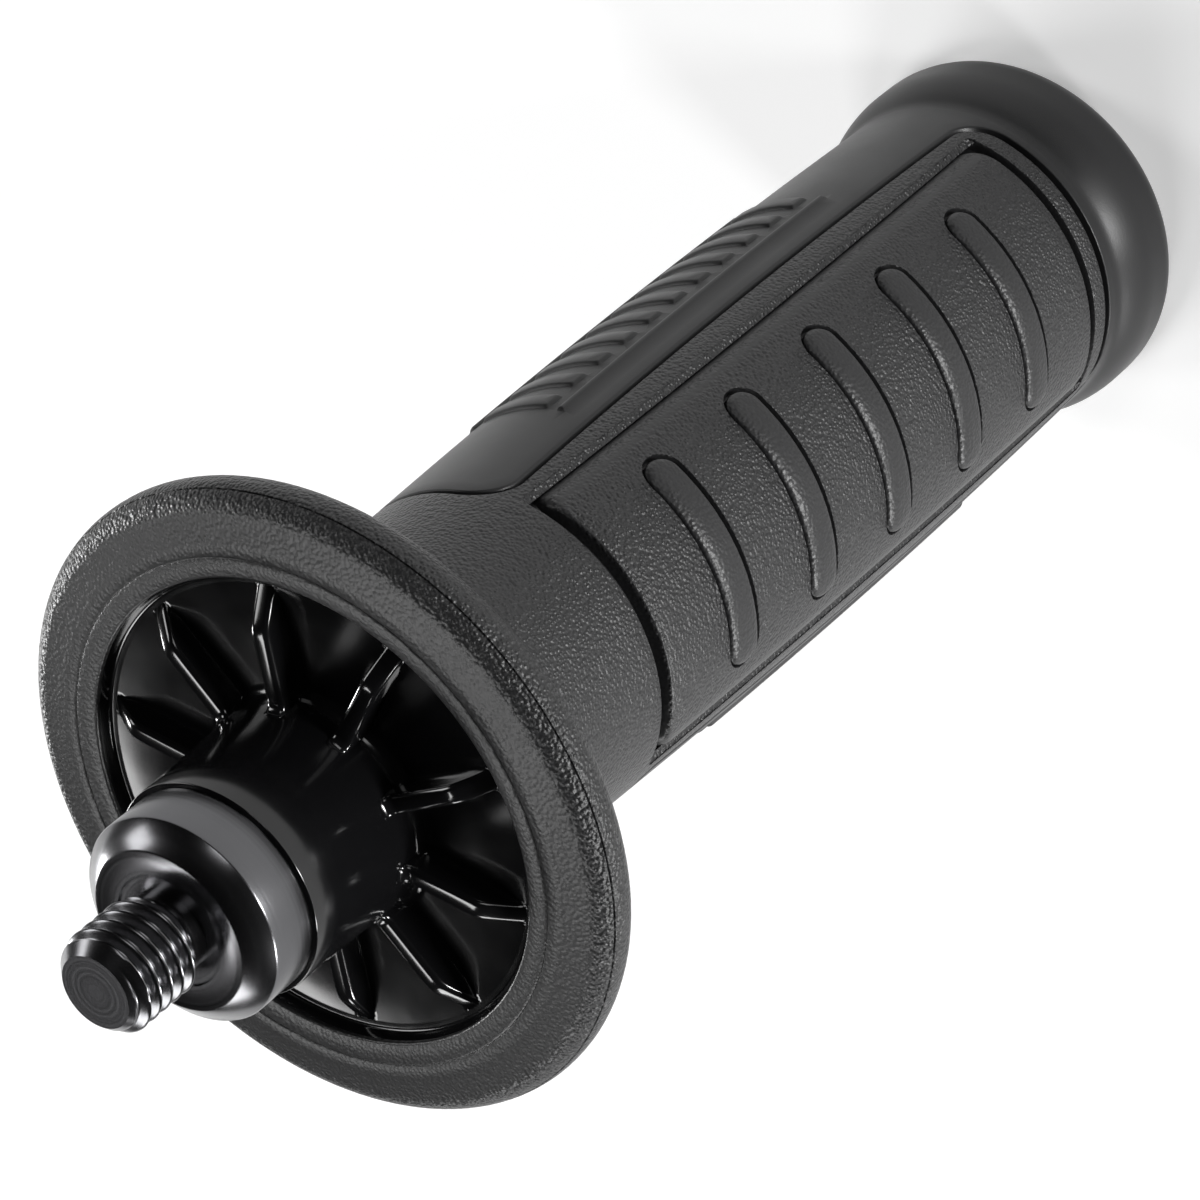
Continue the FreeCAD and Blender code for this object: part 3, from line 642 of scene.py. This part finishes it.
# %% The soft skin: seam, moat, pad and bars
SEAM, SEAM_REAR, SEAM_DEPTH = 0.5, 0.4, 1.2
MOAT_SIDE, MOAT_END, MOAT_CORNER, MOAT_DEPTH = 0.75, 1.3, 0.5, 1.3
MOAT_SLOPE, MOAT_SLOPE_DEPTH = 0.85, 0.6
MOAT_LIP = ((0.0, 0.12), (0.05, 0.03), (0.15, 0.0))
PAD_SIDE_EDGE, PAD_DROP, PAD_INSET = 1.2, 0.45, 0.2
EDGE = 0.25
ROUND_EDGE = ((1.0, 0.0), (0.5, 0.134), (0.134, 0.5), (0.0, 1.0))
DRAFT = 0.06

seam_edge = strip_chain(0.0, -SEAM_DEPTH)
soft_chains = [seam_edge, strip_chain(SEAM - DRAFT, -SEAM_DEPTH, SEAM_REAR)]
for out, down in ROUND_EDGE[::-1]:
    soft_chains.append(strip_chain(SEAM + EDGE * out, -EDGE * down, SEAM_REAR))
# The pad's long edges are rounded far more than its ends
for out, down in ROUND_EDGE:
    side = -PAD_SIDE_EDGE * out - PAD_INSET
    end = -EDGE * out
    soft_chains.append(pad_chain(side, end, PAD_CORNER + end, PAD_RISE - PAD_DROP * down))
soft_chains.append(pad_chain(DRAFT - PAD_INSET, DRAFT, PAD_CORNER, -MOAT_DEPTH))
# The moat's outer wall is steep at the ends and a lit slope along the sides
slope_foot = MOAT_SIDE - MOAT_SLOPE
soft_chains.append(pad_chain(slope_foot, MOAT_END - DRAFT, MOAT_CORNER, -MOAT_DEPTH))
soft_chains.append(pad_chain(slope_foot + DRAFT, MOAT_END - DRAFT / 2, MOAT_CORNER, -MOAT_SLOPE_DEPTH))
for out, down in MOAT_LIP:
    soft_chains.append(pad_chain(MOAT_SIDE + out, MOAT_END + out, MOAT_CORNER + out, -down))
# A bar's level lines as (ahead of its middle, behind it, above the pad), from the crease round its foot
# to its crest. It slopes gently towards the stud and drops into a wider crease on the other side.
BAR_LEVELS = (
    (2.08, 2.88, 0.0), (2.04, 2.82, -0.12), (2.02, 2.78, -0.9), (1.99, 2.2, -0.9), (1.97, 1.99, -0.6),
    (1.95, 1.95, -0.06), (1.9, 1.93, 0.1), (1.78, 1.9, 0.24), (1.6, 1.86, 0.36), (1.3, 1.78, 0.47),
    (0.95, 1.66, 0.54), (0.5, 1.45, 0.585), (-0.1, 1.1, 0.6), (-0.65, 0.65, 0.6),
)
for number in range(BARS):
    for ahead, behind, above in BAR_LEVELS:
        soft_chains.append(bar_chain(number, ahead, behind, PAD_RISE + above))
print("the soft skin keeps", len(soft_chains), "chains on each quarter")


# %% The soft skin: its plain places
def past_pad(angle, height):
    """How far a place lies past the pad's long edge, less than zero on the pad."""
    half = float(np.interp(height, [PAD_REAR, PAD_FRONT], [PAD_REAR_HALF, PAD_FRONT_HALF]))
    return float(barrel(height)) * math.sin(math.radians(angle)) - half


def along_pad(height):
    """Whether a height is one of the pad's."""
    return PAD_REAR < height < PAD_FRONT


def soft_lift(angle, height):
    """Height of the plain skin above the barrel: the pad stands a little proud."""
    return PAD_RISE if along_pad(height) and past_pad(angle, height) < 0 else 0.0


def in_plain_soft(angle, height):
    """Whether a place on the soft skin lies clear of the pad's rounded edge and of the moat's slope."""
    beside = -PAD_SIDE_EDGE - PAD_INSET < past_pad(angle, height) < MOAT_SIDE
    return in_soft(angle, height) and not (along_pad(height) and beside)


soft_spots, soft_faces = fill_quarter(soft_chains, NECK_END, in_plain_soft, soft_lift)
print("a quarter of the soft skin has", len(soft_faces), "triangles")

# %% The soft skin: the ring
RING_BACK, CREST, LIP = 124.5, 130.3, 130.0
NECK_TOP, NECK_FOOT = 18.55, 4.0
RING_BACK_ROUND, RING_FRONT_ROUND, RING_FALL = 2.5, 2.4, 0.6
CREST_RADIUS, LIP_ROUND = 26.3, 0.3
FACE_OUT, FACE_FALL = 1.5, 0.21
LINE_WIDTH, LINE_DEPTH, LINE_FALL = 0.22, 0.16, 0.03
RIM_TURNS = (0, 6, 12, 18)
PARTING_LINE = ((25, 0.0), (27.5, LINE_DEPTH), (30, 0.0))

ring_outline = arc((NECK_TOP + NECK_FOOT, NECK_END), NECK_FOOT, 180, 90, 10)
ring_outline += arc((RIM - RING_BACK_ROUND, RING_BACK + RING_BACK_ROUND), RING_BACK_ROUND, -90, 0, 10)
front_centre = (RIM - RING_FRONT_ROUND, CREST - RING_FALL - RING_FRONT_ROUND)
for degrees in RIM_TURNS:
    ring_outline += arc(front_centre, RING_FRONT_ROUND, degrees, degrees, 0)
# The parting line of the mould, a fine groove all round the rim
for degrees, down in PARTING_LINE:
    ring_outline += arc(front_centre, RING_FRONT_ROUND - down, degrees, degrees, 0)
ring_outline += arc(front_centre, RING_FRONT_ROUND, 36, 90, 9)
# A second fine line runs round the ring's face, at its crest
ring_outline += [
    (CREST_RADIUS + FACE_OUT, CREST - FACE_FALL),
    (CREST_RADIUS + LINE_WIDTH, CREST - LINE_FALL),
    (CREST_RADIUS, CREST - LINE_DEPTH),
    (CREST_RADIUS - LINE_WIDTH, CREST - LINE_FALL),
]
ring_outline += arc((DISH + LIP_ROUND, LIP - LIP_ROUND), LIP_ROUND, 90, 180, 5)
ring_outline += [(DISH, WALL_TOP), (WALL, WALL_TOP), (WALL, PLATE_FRONT), (PLATE, PLATE_FRONT)]
inner_rings = [ring(PLATE, PLATE_BACK), ring(NECK_TOP - SKIN, PLATE_BACK, UNDER)]
inner_rings.append(ring(NECK_TOP - SKIN, NECK_END, UNDER))
soft_patches = [bands([ring(radius, height) for radius, height in ring_outline] + inner_rings)]
soft_patches += all_round(place(soft_spots), soft_faces)
soft_patches += under_patch(seam_edge)
soft_patches += wall(place(seam_edge), place_under(seam_edge))
soft_overmould = close_piece("soft_overmould_skin", "soft_overmould", soft_patches)

# %% [markdown]
# The grip body is the hard moulding under the skin: the flared end flange, the plain land in front of it
# and the two strips come out to the surface. Each strip has a plain row of raised cross bars between two
# thin lines. They could be a bump in the material, but marks of this height catch the light on their
# edges and give the strip its broken highlight, so they are modelled.

# %% The hard body: strips and their plain marks
STRIP_EDGE = 0.18
MARK_RISE, MARK_EDGE, MARK_SHOULDER = 0.35, 0.18, 0.7
CROSS_BARS, CROSS_PITCH, CROSS_FIRST = 11, 4.5, 36.6
CROSS_HALF, CROSS_WIDTH, CROSS_CORNER = 4.3, 2.2, 0.25
LINE_MIDDLE, LINE_HALF, LINE_REAR, LINE_FRONT = 6.0, 0.3, 36.0, 84.0
LINE_CORNER = 0.05


def closed_chain(corners, lift):
    """A closed line on a strip from (across, up) corners."""
    line = rounded([corners[0]] + [(*corner, LINE_CORNER) for corner in corners[1:]] + [corners[0]])
    return chain(np.degrees(np.arccos(line[:, 0] / barrel(line[:, 1]))), line[:, 1], lift, 1.0)


def cross_chain(rear, grow, lift):
    """Half a cross bar, which starts and ends on the strip's middle line."""
    low, high = rear - grow, rear + CROSS_WIDTH + grow
    reach = CROSS_HALF + grow
    line = rounded([(0.0, high), (reach, high, CROSS_CORNER), (reach, low, CROSS_CORNER), (0.0, low)])
    return chain(np.degrees(np.arccos(line[:, 0] / barrel(line[:, 1]))), line[:, 1], lift, 1.0)


def line_chain(grow, lift):
    """The thin line beside the cross bars."""
    near, far = LINE_MIDDLE - LINE_HALF - grow, LINE_MIDDLE + LINE_HALF + grow
    low, high = LINE_REAR - grow, LINE_FRONT + grow
    return closed_chain([(near, low), (far, low), (far, high), (near, high)], lift)


hard_edge = strip_chain(0.0, -STRIP_EDGE)
hard_chains = [hard_edge]
for out, down in ROUND_EDGE[:3]:
    hard_chains.append(strip_chain(-STRIP_EDGE * out, -STRIP_EDGE * down))
for grow, lift in ((MARK_EDGE, 0.0), (0.0, MARK_RISE * MARK_SHOULDER), (-MARK_EDGE, MARK_RISE)):
    hard_chains.append(line_chain(grow, lift))
    for number in range(CROSS_BARS):
        hard_chains.append(cross_chain(CROSS_FIRST + number * CROSS_PITCH, grow, lift))


def hard_lift(angle, height):
    """Height above the barrel of a place on the strip or on a cross bar's flat top."""
    across = float(barrel(height)) * math.cos(math.radians(angle))
    number, past = divmod(height - CROSS_FIRST, CROSS_PITCH)
    on_bar = 0 <= number < CROSS_BARS and past < CROSS_WIDTH and across < CROSS_HALF
    return MARK_RISE if on_bar else 0.0


hard_spots, hard_faces = fill_quarter(hard_chains, END_FLANGE, in_hard, hard_lift)
print("a quarter of the hard skin has", len(hard_faces), "triangles")

# %% The hard body: end flange, gate dimple and bore
END_RADIUS, END_REAR, SHOULDER, ROOT_HOLLOW = 20.0, 3.5, 10.0, 3.0
GATE, GATE_DEPTH, GATE_EDGE = 3.0, 0.6, 0.2
FACE_ROWS = (8.0, 13.0)
barrel_rear = float(barrel(END_FLANGE))
both_rounds = SHOULDER + ROOT_HOLLOW
shoulder_turn = math.degrees(math.acos(1 - (END_RADIUS - barrel_rear) / both_rounds))
shoulder_height = END_FLANGE - both_rounds * math.sin(math.radians(shoulder_turn))
flange_outline = [(0, GATE_DEPTH), (GATE - GATE_EDGE, GATE_DEPTH)]
flange_outline += [(GATE, GATE_EDGE), (GATE + GATE_EDGE, 0)]
flange_outline += [(radius, 0) for radius in FACE_ROWS]
flange_outline += arc((END_RADIUS - END_REAR, END_REAR), END_REAR, -90, 0, 12)
flange_outline += arc((END_RADIUS - SHOULDER, shoulder_height), SHOULDER, 0, shoulder_turn, 10)
root_centre = (barrel_rear + ROOT_HOLLOW, END_FLANGE)
flange_outline += arc(root_centre, ROOT_HOLLOW, 180 + shoulder_turn, 180, 6)[1:]
hard_patches = [turned(flange_outline)]
hard_patches += all_round(place(hard_spots), hard_faces)
hard_patches += under_patch(hard_edge)
hard_patches += wall(place(hard_edge), place_under(hard_edge))
bore_rows = [ring(NECK_TOP - SKIN, NECK_END, UNDER), ring(NECK_TOP - SKIN, PLATE_BACK, UNDER)]
hard_patches.append(bands(bore_rows + spine_rings(COLUMNS)[::-1]))
grip_body = close_piece("grip_body_moulded", "grip_body", hard_patches)

# %% [markdown]
# Colours are written as the sRGB values that a colour picker reads off a screen. Blender's shaders want
# linear light, so one function turns them. One more adds a node with its settings and links, and one
# gives a finished material to its piece. Everything else is the real material's own numbers.

# %% Colour and node helpers
def linear(colour):
    """Linear light from an sRGB hex colour."""
    parts = [int(colour[k:k + 2], 16) / 255 for k in (1, 3, 5)]
    return [p / 12.92 if p <= 0.04045 else ((p + 0.055) / 1.055) ** 2.4 for p in parts] + [1.0]


def add_node(tree, kind, inputs=None, links=None, **settings):
    """Add one node to a tree, with values for its inputs, links to them and its own settings."""
    node = tree.nodes.new(kind)
    for name, value in settings.items():
        setattr(node, name, value)
    for name, value in (inputs or {}).items():
        node.inputs[name].default_value = value
    for name, source in (links or {}).items():
        tree.links.new(source, node.inputs[name])
    return node


def new_finish(name):
    """An empty material and its node tree."""
    material = bpy.data.materials.new(name)
    material.use_nodes = True
    material.node_tree.nodes.clear()
    return material, material.node_tree


def put_on(piece, material, shader):
    """Lead a shader to its material's output, and give the material to a piece."""
    add_node(material.node_tree, "ShaderNodeOutputMaterial", None, {"Surface": shader.outputs[0]})
    piece.data.materials.append(material)
    print(material.name, "is on", piece.name)


def per_metre(length):
    """Pattern scale for one cell or stripe of a length in millimetres."""
    return 1.0 / (length * MM)


# %% [markdown]
# Thermoplastic rubber, moulded in an etched tool. The etching leaves a leather grain of cells about
# 0.4 mm across, which breaks each highlight into specks, and finer tooth inside the cells. The toolmaker
# can't etch as deep on the ring's flat face, on the bars and down in the grooves, so the grain's depth is
# kept as a number at each point of the skin. Rubber is a deep neutral black with a wide soft sheen, and
# holds a trace of dust in its hollows.

# %% How deep the mould was etched
GROOVE_GRAIN, BAR_GRAIN, RING_FACE_GRAIN = 0.15, 0.35, 0.22
FACE_EDGE, ROUND_START = 30.0, 31.6
FLUSH, HAIR = 0.03, 0.01


def etched_share(points):
    """Share of the full grain at points of the skin: all on plain skin, less on bars, least in grooves."""
    across = np.hypot(points[:, 0], points[:, 1])
    lift = across - barrel(points[:, 2])
    plain = (np.abs(lift) < FLUSH) | (np.abs(lift - PAD_RISE) < FLUSH)
    pad_half = np.interp(points[:, 2], [PAD_REAR, PAD_FRONT], [PAD_REAR_HALF, PAD_FRONT_HALF])
    past_foot = np.abs(points[:, 1]) > pad_half + slope_foot - HAIR
    on_slope = past_foot & (lift > -MOAT_SLOPE_DEPTH - HAIR)
    share = np.select([plain | on_slope, lift > PAD_RISE], [1.0, BAR_GRAIN], GROOVE_GRAIN)
    on_face = np.interp(across, [FACE_EDGE, ROUND_START], [RING_FACE_GRAIN, 1.0])
    share = np.where(points[:, 2] > NECK_END - HAIR, 1.0, share)
    return np.where(points[:, 2] > PLATE_FRONT, on_face, share)


skin = soft_overmould.data
etched = etched_share(np.array([vertex.co[:] for vertex in skin.vertices]) / MM)
skin.attributes.new("etched", "FLOAT", "POINT").data.foreach_set("value", etched)
print("the grain is full on", round(100 * float((etched == 1).mean())), "% of the skin's points")

# %% Finish of the soft skin
GRAIN_CELL, GRAIN_TOOTH, GRAIN_DEPTH = 0.38, 0.2, 0.24
rubber, tree = new_finish("etched_thermoplastic_rubber")
where = add_node(tree, "ShaderNodeTexCoord")
etch = add_node(tree, "ShaderNodeAttribute", attribute_name="etched")
cells = add_node(tree, "ShaderNodeTexVoronoi", {"Scale": per_metre(GRAIN_CELL), "Smoothness": 0.6},
                 {"Vector": where.outputs["Object"]}, feature="SMOOTH_F1")
tooth = add_node(tree, "ShaderNodeTexNoise", {"Scale": per_metre(GRAIN_TOOTH), "Detail": 2.0},
                 {"Vector": where.outputs["Object"]})
grain = add_node(tree, "ShaderNodeMix", {"Factor": 0.15},
                 {"A": cells.outputs["Distance"], "B": tooth.outputs["Fac"]})
raised = add_node(tree, "ShaderNodeBump", {"Distance": GRAIN_DEPTH * MM},
                  {"Height": grain.outputs["Result"], "Strength": etch.outputs["Fac"]}, invert=True)
dust = add_node(tree, "ShaderNodeValToRGB", None, {"Fac": tooth.outputs["Fac"]})
dust.color_ramp.elements[0].position = 0.35
dust.color_ramp.elements[0].color = linear("#0f0f10")
dust.color_ramp.elements[1].position = 0.75
dust.color_ramp.elements[1].color = linear("#1a1a1b")
rubber_shader = add_node(
    tree, "ShaderNodeBsdfPrincipled", {"Roughness": 0.42, "IOR": 1.48},
    {"Base Color": dust.outputs["Color"], "Normal": raised.outputs["Normal"]})
put_on(soft_overmould, rubber, rubber_shader)

# %% [markdown]
# Glass-filled polyamide, moulded in a tool with a fine spark finish. It is harder and smoother than the
# rubber, so its highlights are narrow and nearly unbroken, with a faint cloudiness where the melt
# flowed. Polyamide has an IOR of about 1.53. The spark finish's pits swallow part of the mirrored
# light, so the specular level is set under the usual half.

# %% Finish of the hard body
# The pits are drawn at 0.14 mm, coarser than real ones, so that they still show in the picture
SPARK_GRAIN, FLOW_MARK, PIT_DEPTH = 0.14, 9.0, 0.03
polyamide, tree = new_finish("spark_finished_polyamide")
where = add_node(tree, "ShaderNodeTexCoord")
spark = add_node(tree, "ShaderNodeTexNoise", {"Scale": per_metre(SPARK_GRAIN), "Detail": 3.0},
                 {"Vector": where.outputs["Object"]})
flow = add_node(tree, "ShaderNodeTexNoise", {"Scale": per_metre(FLOW_MARK), "Detail": 2.0},
                {"Vector": where.outputs["Object"]})
cloud = add_node(tree, "ShaderNodeMapRange", {"To Min": 0.32, "To Max": 0.5},
                 {"Value": flow.outputs["Fac"]})
raised = add_node(tree, "ShaderNodeBump", {"Strength": 0.5, "Distance": PIT_DEPTH * MM},
                  {"Height": spark.outputs["Fac"]})
polyamide_shader = add_node(
    tree, "ShaderNodeBsdfPrincipled", {
        "Base Color": linear("#0f0f10"), "IOR": 1.53, "Specular IOR Level": 0.35},
    {"Roughness": cloud.outputs["Result"], "Normal": raised.outputs["Normal"]})
put_on(grip_body, polyamide, polyamide_shader)

# %% [markdown]
# The core is polyamide too, but from a polished tool: it mirrors its surroundings, so the dish looks
# nearly black with bright edges along the ribs. Thick mouldings sink a little as they cool, which
# shows as slow waves in the reflections.

# %% Finish of the core
SINK_WAVE, SINK_DEPTH = 4.0, 0.1
polished, tree = new_finish("polished_polyamide")
where = add_node(tree, "ShaderNodeTexCoord")
sink = add_node(tree, "ShaderNodeTexNoise", {"Scale": per_metre(SINK_WAVE), "Detail": 1.0},
                {"Vector": where.outputs["Object"]})
haze = add_node(tree, "ShaderNodeMapRange", {"To Min": 0.1, "To Max": 0.18},
                {"Value": sink.outputs["Fac"]})
waves = add_node(tree, "ShaderNodeBump", {"Strength": 0.15, "Distance": SINK_DEPTH * MM},
                 {"Height": sink.outputs["Fac"]})
polished_shader = add_node(
    tree, "ShaderNodeBsdfPrincipled", {"Base Color": linear("#0b0b0c"), "IOR": 1.53},
    {"Roughness": haze.outputs["Result"], "Normal": waves.outputs["Normal"]})
put_on(flange_core, polished, polished_shader)

# %% [markdown]
# Turned steel with a black oxide coat. The coat is thin, so the steel still shines through as dark
# gunmetal, and the tool's feed leaves rings about 0.12 mm apart all round, which draw the highlights
# out across the turning. A metal's own colour tints what it mirrors, and its IOR stays at the default.

# %% Finish of the stud
# The rings are drawn 0.3 mm apart, coarser than the real feed, so that they still show in the picture
FEED, FEED_DEPTH = 0.3, 0.03
oxide, tree = new_finish("black_oxide_turned_steel")
where = add_node(tree, "ShaderNodeTexCoord")
axes = add_node(tree, "ShaderNodeSeparateXYZ", None, {"Vector": where.outputs["Object"]})
flat_place = add_node(tree, "ShaderNodeCombineXYZ", None,
                      {"X": axes.outputs["X"], "Y": axes.outputs["Y"]})
across = add_node(tree, "ShaderNodeVectorMath", None,
                  {0: flat_place.outputs["Vector"]}, operation="LENGTH")
path = add_node(tree, "ShaderNodeMath", None, {0: across.outputs["Value"], 1: axes.outputs["Z"]},
                operation="ADD")
feed = add_node(tree, "ShaderNodeTexNoise", {"Scale": per_metre(FEED), "Detail": 2.0},
                {"W": path.outputs["Value"]}, noise_dimensions="1D")
rings_bump = add_node(tree, "ShaderNodeBump", {"Strength": 0.08, "Distance": FEED_DEPTH * MM},
                      {"Height": feed.outputs["Fac"]})
coat = add_node(tree, "ShaderNodeMapRange", {"To Min": 0.16, "To Max": 0.28},
                {"Value": feed.outputs["Fac"]})
oxide_shader = add_node(
    tree, "ShaderNodeBsdfPrincipled", {"Base Color": linear("#626264"), "Metallic": 1.0},
    {"Roughness": coat.outputs["Result"], "Normal": rings_bump.outputs["Normal"]})
put_on(threaded_stud, oxide, oxide_shader)

# %% [markdown]
# The handle stands on its end flange on a white sheet of card, as it would in a photographer's studio.
# The card is 9 metres wide, so that it fills the picture from a low side view too, and is white by its
# own colour. A little of its whiteness is added for the rays that the camera and the reflections send,
# so the card reads white and its shadow stays.

# %% The white card
CARD_SIZE, CARD_GLOW = 9.0, 0.26
bpy.ops.mesh.primitive_plane_add(size=CARD_SIZE)
card = bpy.context.object
card.name = "white_card"
card_paper, tree = new_finish("white_card_paper")
paper = add_node(tree, "ShaderNodeBsdfDiffuse", {"Color": linear("#f4f4f4")})
glow = add_node(tree, "ShaderNodeEmission", {"Color": linear("#ffffff"), "Strength": CARD_GLOW})
both = add_node(tree, "ShaderNodeAddShader", None,
                {0: paper.outputs["BSDF"], 1: glow.outputs["Emission"]})
rays = add_node(tree, "ShaderNodeLightPath")
seen = add_node(tree, "ShaderNodeMath", None,
                {0: rays.outputs["Is Camera Ray"], 1: rays.outputs["Is Glossy Ray"]}, operation="MAXIMUM")
seen_all = add_node(tree, "ShaderNodeMath", None,
                    {0: seen.outputs["Value"], 1: rays.outputs["Is Transmission Ray"]}, operation="MAXIMUM")
card_mix = add_node(tree, "ShaderNodeMixShader", None, {
    "Fac": seen_all.outputs["Value"], 1: paper.outputs["BSDF"], 2: both.outputs["Shader"]})
put_on(card, card_paper, card_mix)

# %% [markdown]
# A black object shows only what it mirrors. In a bright room it would mirror grey everywhere and look
# flat, so the room is nearly dark and soft boxes of a moderate size stand round the handle, 3 metres
# away. The low ones rake along the barrel and wake the grain, the ones higher up draw the ribs and the
# rim, and the highest keeps the card evenly white. Sizes and distances here are in metres, strengths in
# watts. Averaged over a matte grey ball, the light shows its colour about as it is written.

# %% Room and soft boxes
ROOM_GREY = 0.01
BOX_AWAY, LOW_BOX, HIGH_BOX = 3.0, 0.55, 1.0
AIM_HEIGHT = 0.08
world = bpy.data.worlds.new("grey_room")
world.use_nodes = True
bpy.context.scene.world = world
world.node_tree.nodes["Background"].inputs["Color"].default_value = (1, 1, 1, 1)
world.node_tree.nodes["Background"].inputs["Strength"].default_value = ROOM_GREY


def soft_box(name, azimuth, height, size, strength):
    """A square lamp that looks at the handle from an azimuth and a height above it, both in degrees."""
    lamp = bpy.data.lights.new(name, "AREA")
    lamp.size = size
    lamp.energy = strength
    box = bpy.data.objects.new(name, lamp)
    turn, rise = math.radians(azimuth), math.radians(height)
    way = Vector((math.cos(rise) * math.cos(turn), math.cos(rise) * math.sin(turn), math.sin(rise)))
    box.location = Vector((0, 0, AIM_HEIGHT)) + way * BOX_AWAY
    box.rotation_euler = way.to_track_quat("Z", "Y").to_euler()
    bpy.context.scene.collection.objects.link(box)
    print(name, "has", strength, "W on a square of", size, "m")


soft_box("box_low_front", 347, 4, LOW_BOX, 94)
soft_box("box_low_right", 301, 8, LOW_BOX, 75)
soft_box("box_low_behind", 175, 8, LOW_BOX, 44)
soft_box("box_behind", 243, 24, HIGH_BOX, 28)
soft_box("box_left", 135, 30, HIGH_BOX, 22)
soft_box("box_right", 45, 30, HIGH_BOX, 10)
soft_box("box_high", 200, 57, HIGH_BOX, 31)

# %% [markdown]
# The camera looks down on the handle from its stud's side, with a long lens that keeps the ring and
# the end flange in proportion, and is rolled so that the handle lies across the picture. Its place and
# its three directions come from fitting known points of the handle, such as the ring's rim and the
# pads' corners, to the reference view.

# %% Camera
CAMERA_PLACE = Vector((295.963, 112.053, 383.821))
RIGHT = Vector((0.72177, -0.41328, -0.55520))
UP = Vector((0.13811, 0.87202, -0.46957))
LENS, SENSOR = 135, 36
camera_data = bpy.data.cameras.new("camera")
camera_data.lens = LENS
camera_data.sensor_width = SENSOR
camera = bpy.data.objects.new("camera", camera_data)
back = RIGHT.cross(UP)
turned_to = Matrix((RIGHT, UP, back)).transposed().to_4x4()
camera.matrix_world = Matrix.Translation(CAMERA_PLACE * MM) @ turned_to
bpy.context.scene.collection.objects.link(camera)
bpy.context.scene.camera = camera
bpy.context.scene.view_settings.view_transform = "Standard"
print("the camera is", round(CAMERA_PLACE.length), "mm from the middle of the handle's foot")

# %% [markdown]
# Last, the view layer is brought up to date.

# %% Finish
bpy.context.view_layer.update()
